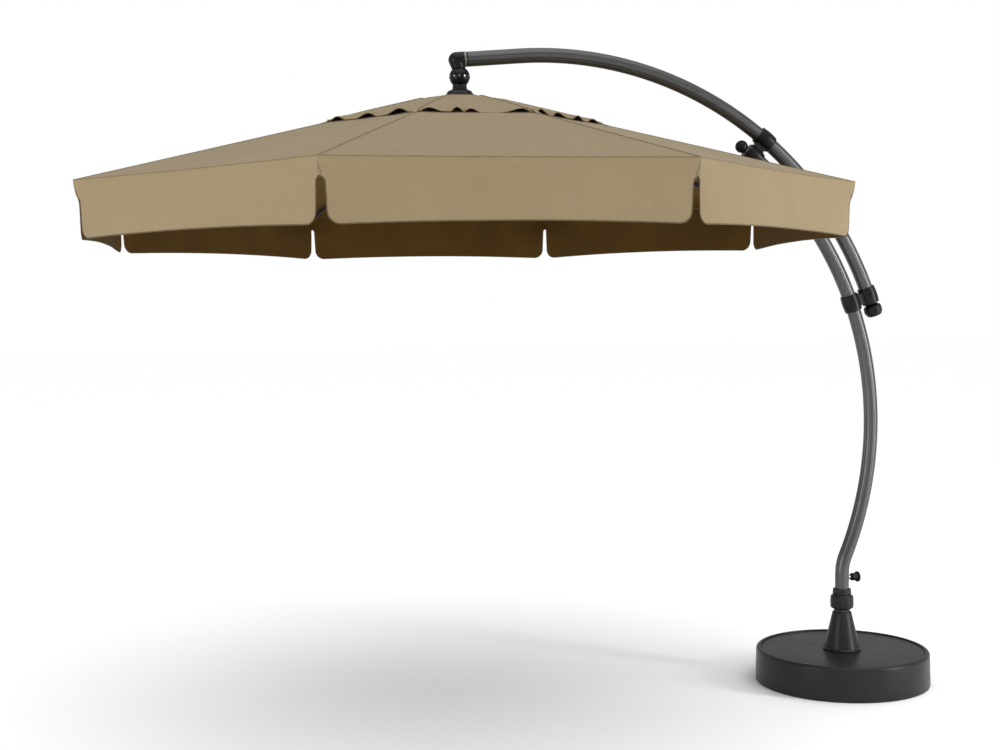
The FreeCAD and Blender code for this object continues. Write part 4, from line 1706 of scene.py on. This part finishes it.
@dataclass
class KnobRings:
    """Two bright rings on the stub between the mast's head and its ball knob."""

    angle: float = 52.4
    bore: float = 6.2
    # Lower end, upper end and radius of each ring along the stub, in millimetres.
    rings: tuple[tuple[float, float, float], ...] = ((43.0, 45.4, 15.0), (46.6, 49.0, 16.4))

    def build(self, finishes: Finishes) -> None:
        """Build both rings.

        Args:
            finishes: The parasol's materials.
        """
        for low, high, radius in self.rings:
            profile = fillet_profile(
                [(self.bore, low, 0), (radius - 0.2, low, 0), (radius, low + 0.4, 0.3),
                 (radius, high - 0.4, 0.3), (radius - 0.2, high, 0), (self.bore, high, 0)], 4)
            ring = lathe("knob_ring", profile, finishes["nickel_plated_steel"], 64)
            carry(ring, *arc_stop(self.angle, MAST_ARC))
            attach(ring, "upper_lock")
        LOG.info("knob rings: %d", len(self.rings))


# ------------------------------------------------------------------ finishes of the frame's own nodes
SLOT_FINISH = {
    "moulded_black": "moulded_plastic_black",
    "cast_black": "powder_coat_black",
    "anthracite_coat": "powder_coat_anthracite",
    "rib_coat": "powder_coat_rib_grey",
    "galvanised_steel": "zinc_plated_steel",
    "bright_steel": "nickel_plated_steel",
    "nylon_grey": "nylon_bearing_grey",
    "ballast_gravel": "washed_gravel",
    "canopy_cloth": "woven_polyester_khaki",
}


def dress_nodes(frame: dict, finishes: Finishes) -> None:
    """Give each of the frame's nodes the finish of its slot.

    Args:
        finishes: The parasol's materials.
    """
    for subpart in frame["record"]["subparts"]:
        made = frame["nodes"][subpart["node"]]
        made.data.materials.clear()
        made.data.materials.append(finishes[SLOT_FINISH[subpart["material_slot"]]])
    LOG.info("nodes dressed: %d", len(frame["nodes"]))


# ------------------------------------------------------------------ studio
@dataclass
class Studio:
    """Pale floor, soft lights and the camera."""

    eye: tuple[float, float, float] = (-3.562, -6.348, 1.871)
    yaw: float = 15.79
    pitch: float = -2.587
    roll: float = -0.584
    lens: float = 51.315
    ambient: float = 0.50
    overhead: float = 1.8
    floor_colour: str = "#FBFBFB"
    floor_reach: float = 60.0
    # The floor lies a hair below the base, so that the two faces never meet.
    floor_height: float = -0.0005

    def build_floor(self) -> None:
        """Lay the pale floor."""
        material, tree = new_tree("studio_floor_white")
        shade(tree, {"Base Color": linear(self.floor_colour), "Roughness": 0.9})
        turns = ((-1, -1), (1, -1), (1, 1), (-1, 1))
        corners = [(x * self.floor_reach, y * self.floor_reach, self.floor_height) for x, y in turns]
        floor = mesh_object("studio_floor", np.array(corners), [(0, 1, 2, 3)], [material])

    def softbox(
        self,
        name: str,
        place: tuple[float, float, float],
        aim: tuple[float, float, float],
        size: tuple[float, float],
        watts: float,
    ) -> None:
        """Hang one rectangular soft light.

        Args:
            name: The light's name.
            place: Where it hangs.
            aim: The point it faces.
            size: Its width and height, in metres.
            watts: Its power.
        """
        lamp = bpy.data.lights.new(name, "AREA")
        lamp.shape = "RECTANGLE"
        lamp.size, lamp.size_y = size
        lamp.energy = watts
        made = bpy.data.objects.new(name, lamp)
        made.location = place
        made.rotation_mode = "QUATERNION"
        made.rotation_quaternion = (Vector(aim) - Vector(place)).to_track_quat("-Z", "Y")
        bpy.context.scene.collection.objects.link(made)

    def build_world(self) -> None:
        """Surround the studio with white walls that look brighter than the light they throw."""
        world = bpy.data.worlds.new("studio")
        world.use_nodes = True
        tree = world.node_tree
        tree.nodes.clear()
        thrown = add_node(tree, "ShaderNodeBackground", None, {"Color": WHITE, "Strength": self.ambient})
        seen = add_node(tree, "ShaderNodeBackground", None, {"Color": WHITE, "Strength": 1.0})
        share = add_node(tree, "ShaderNodeLightPath").outputs["Is Camera Ray"]
        both = {0: share, 1: thrown.outputs[0], 2: seen.outputs[0]}
        mixed = add_node(tree, "ShaderNodeMixShader", None, both)
        add_node(tree, "ShaderNodeOutputWorld", None, {"Surface": mixed.outputs[0]})
        bpy.context.scene.world = world

    def build_lights(self) -> None:
        """Light the studio: a wide soft light overhead and softboxes at both sides."""
        sun = bpy.data.lights.new("overhead", "SUN")
        sun.energy = self.overhead
        sun.angle = math.radians(80)
        above = bpy.data.objects.new("overhead", sun)
        above.rotation_euler = (math.radians(12), 0, 0)
        bpy.context.scene.collection.objects.link(above)
        self.softbox("softbox_left", (-8.5, -3.5, 2.4), (-1.8, 0, 1.9), (0.9, 4.4), 190)
        self.softbox("softbox_right", (4.6, -4.6, 2.6), (-0.4, 0, 1.6), (0.9, 4.6), 330)

    def build_camera(self) -> None:
        """Set up the camera."""
        yaw, pitch, roll = (math.radians(a) for a in (self.yaw, self.pitch, self.roll))
        ahead = Vector((math.sin(yaw) * math.cos(pitch), math.cos(yaw) * math.cos(pitch), math.sin(pitch)))
        right = Vector((math.cos(yaw), -math.sin(yaw), 0))
        above = right.cross(ahead)
        level = right * math.cos(roll) + above * math.sin(roll)
        upright = above * math.cos(roll) - right * math.sin(roll)
        data = bpy.data.cameras.new("camera")
        data.sensor_width = 36.0
        data.lens = self.lens
        data.clip_end = 200.0
        camera = bpy.data.objects.new("camera", data)
        pose = Matrix((level, upright, -ahead)).transposed().to_4x4()
        pose.translation = Vector(self.eye)
        camera.matrix_world = pose
        bpy.context.scene.collection.objects.link(camera)
        bpy.context.scene.camera = camera

    def build(self) -> None:
        """Build floor, lights and camera."""
        self.build_floor()
        self.build_world()
        self.build_lights()
        self.build_camera()
        bpy.context.scene.view_settings.view_transform = "Standard"
        LOG.info("studio: floor, lights and camera")


CASTINGS = (
    Casting("upper_bracket", "mast", "cast_black", "powder_coat_black"),
    Casting("lower_bracket", "arm", "cast_black", "powder_coat_black"),
    Casting("elbow", "arm", "cast_black", "powder_coat_black", 0.0014, 4),
    Casting("ball_shell", "ball", "cast_black", "powder_coat_black", 0.0012, 3),
    NeckCasting("neck", "canopy_hub", "cast_black", "powder_coat_black", 0.0012, 2),
    CrownCasting("crown", "canopy_hub", "moulded_black", "moulded_plastic_black", 0.0025, 2),
    Casting("upper_knob", "upper_lock", "moulded_black", "moulded_plastic_black", 0.0014, 4),
    Casting("lower_knob", "lower_lock", "moulded_black", "moulded_plastic_black", 0.0016, 5),
    Casting("foot_knob", "foot_hand_knob", "moulded_black", "moulded_plastic_black", 0.0010, 2),
)


def main() -> None:
    """Build the parasol's looks piece by piece."""
    logging.basicConfig(level=logging.INFO, format="%(message)s")
    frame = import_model()
    finishes = Finishes()
    finishes.build()
    dress_nodes(frame, finishes)
    low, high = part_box("base_tub")
    BaseStand(radius=(high[0] - low[0]) * 500, height=high[2] * 1000).build(finishes)
    Mast().build(finishes)
    Arm().build(finishes)
    for casting in CASTINGS:
        casting.build(frame, finishes)
    KnobRings().build(finishes)
    Canopy().build(finishes)
    Studio().build()


if __name__ == "__main__":
    main()
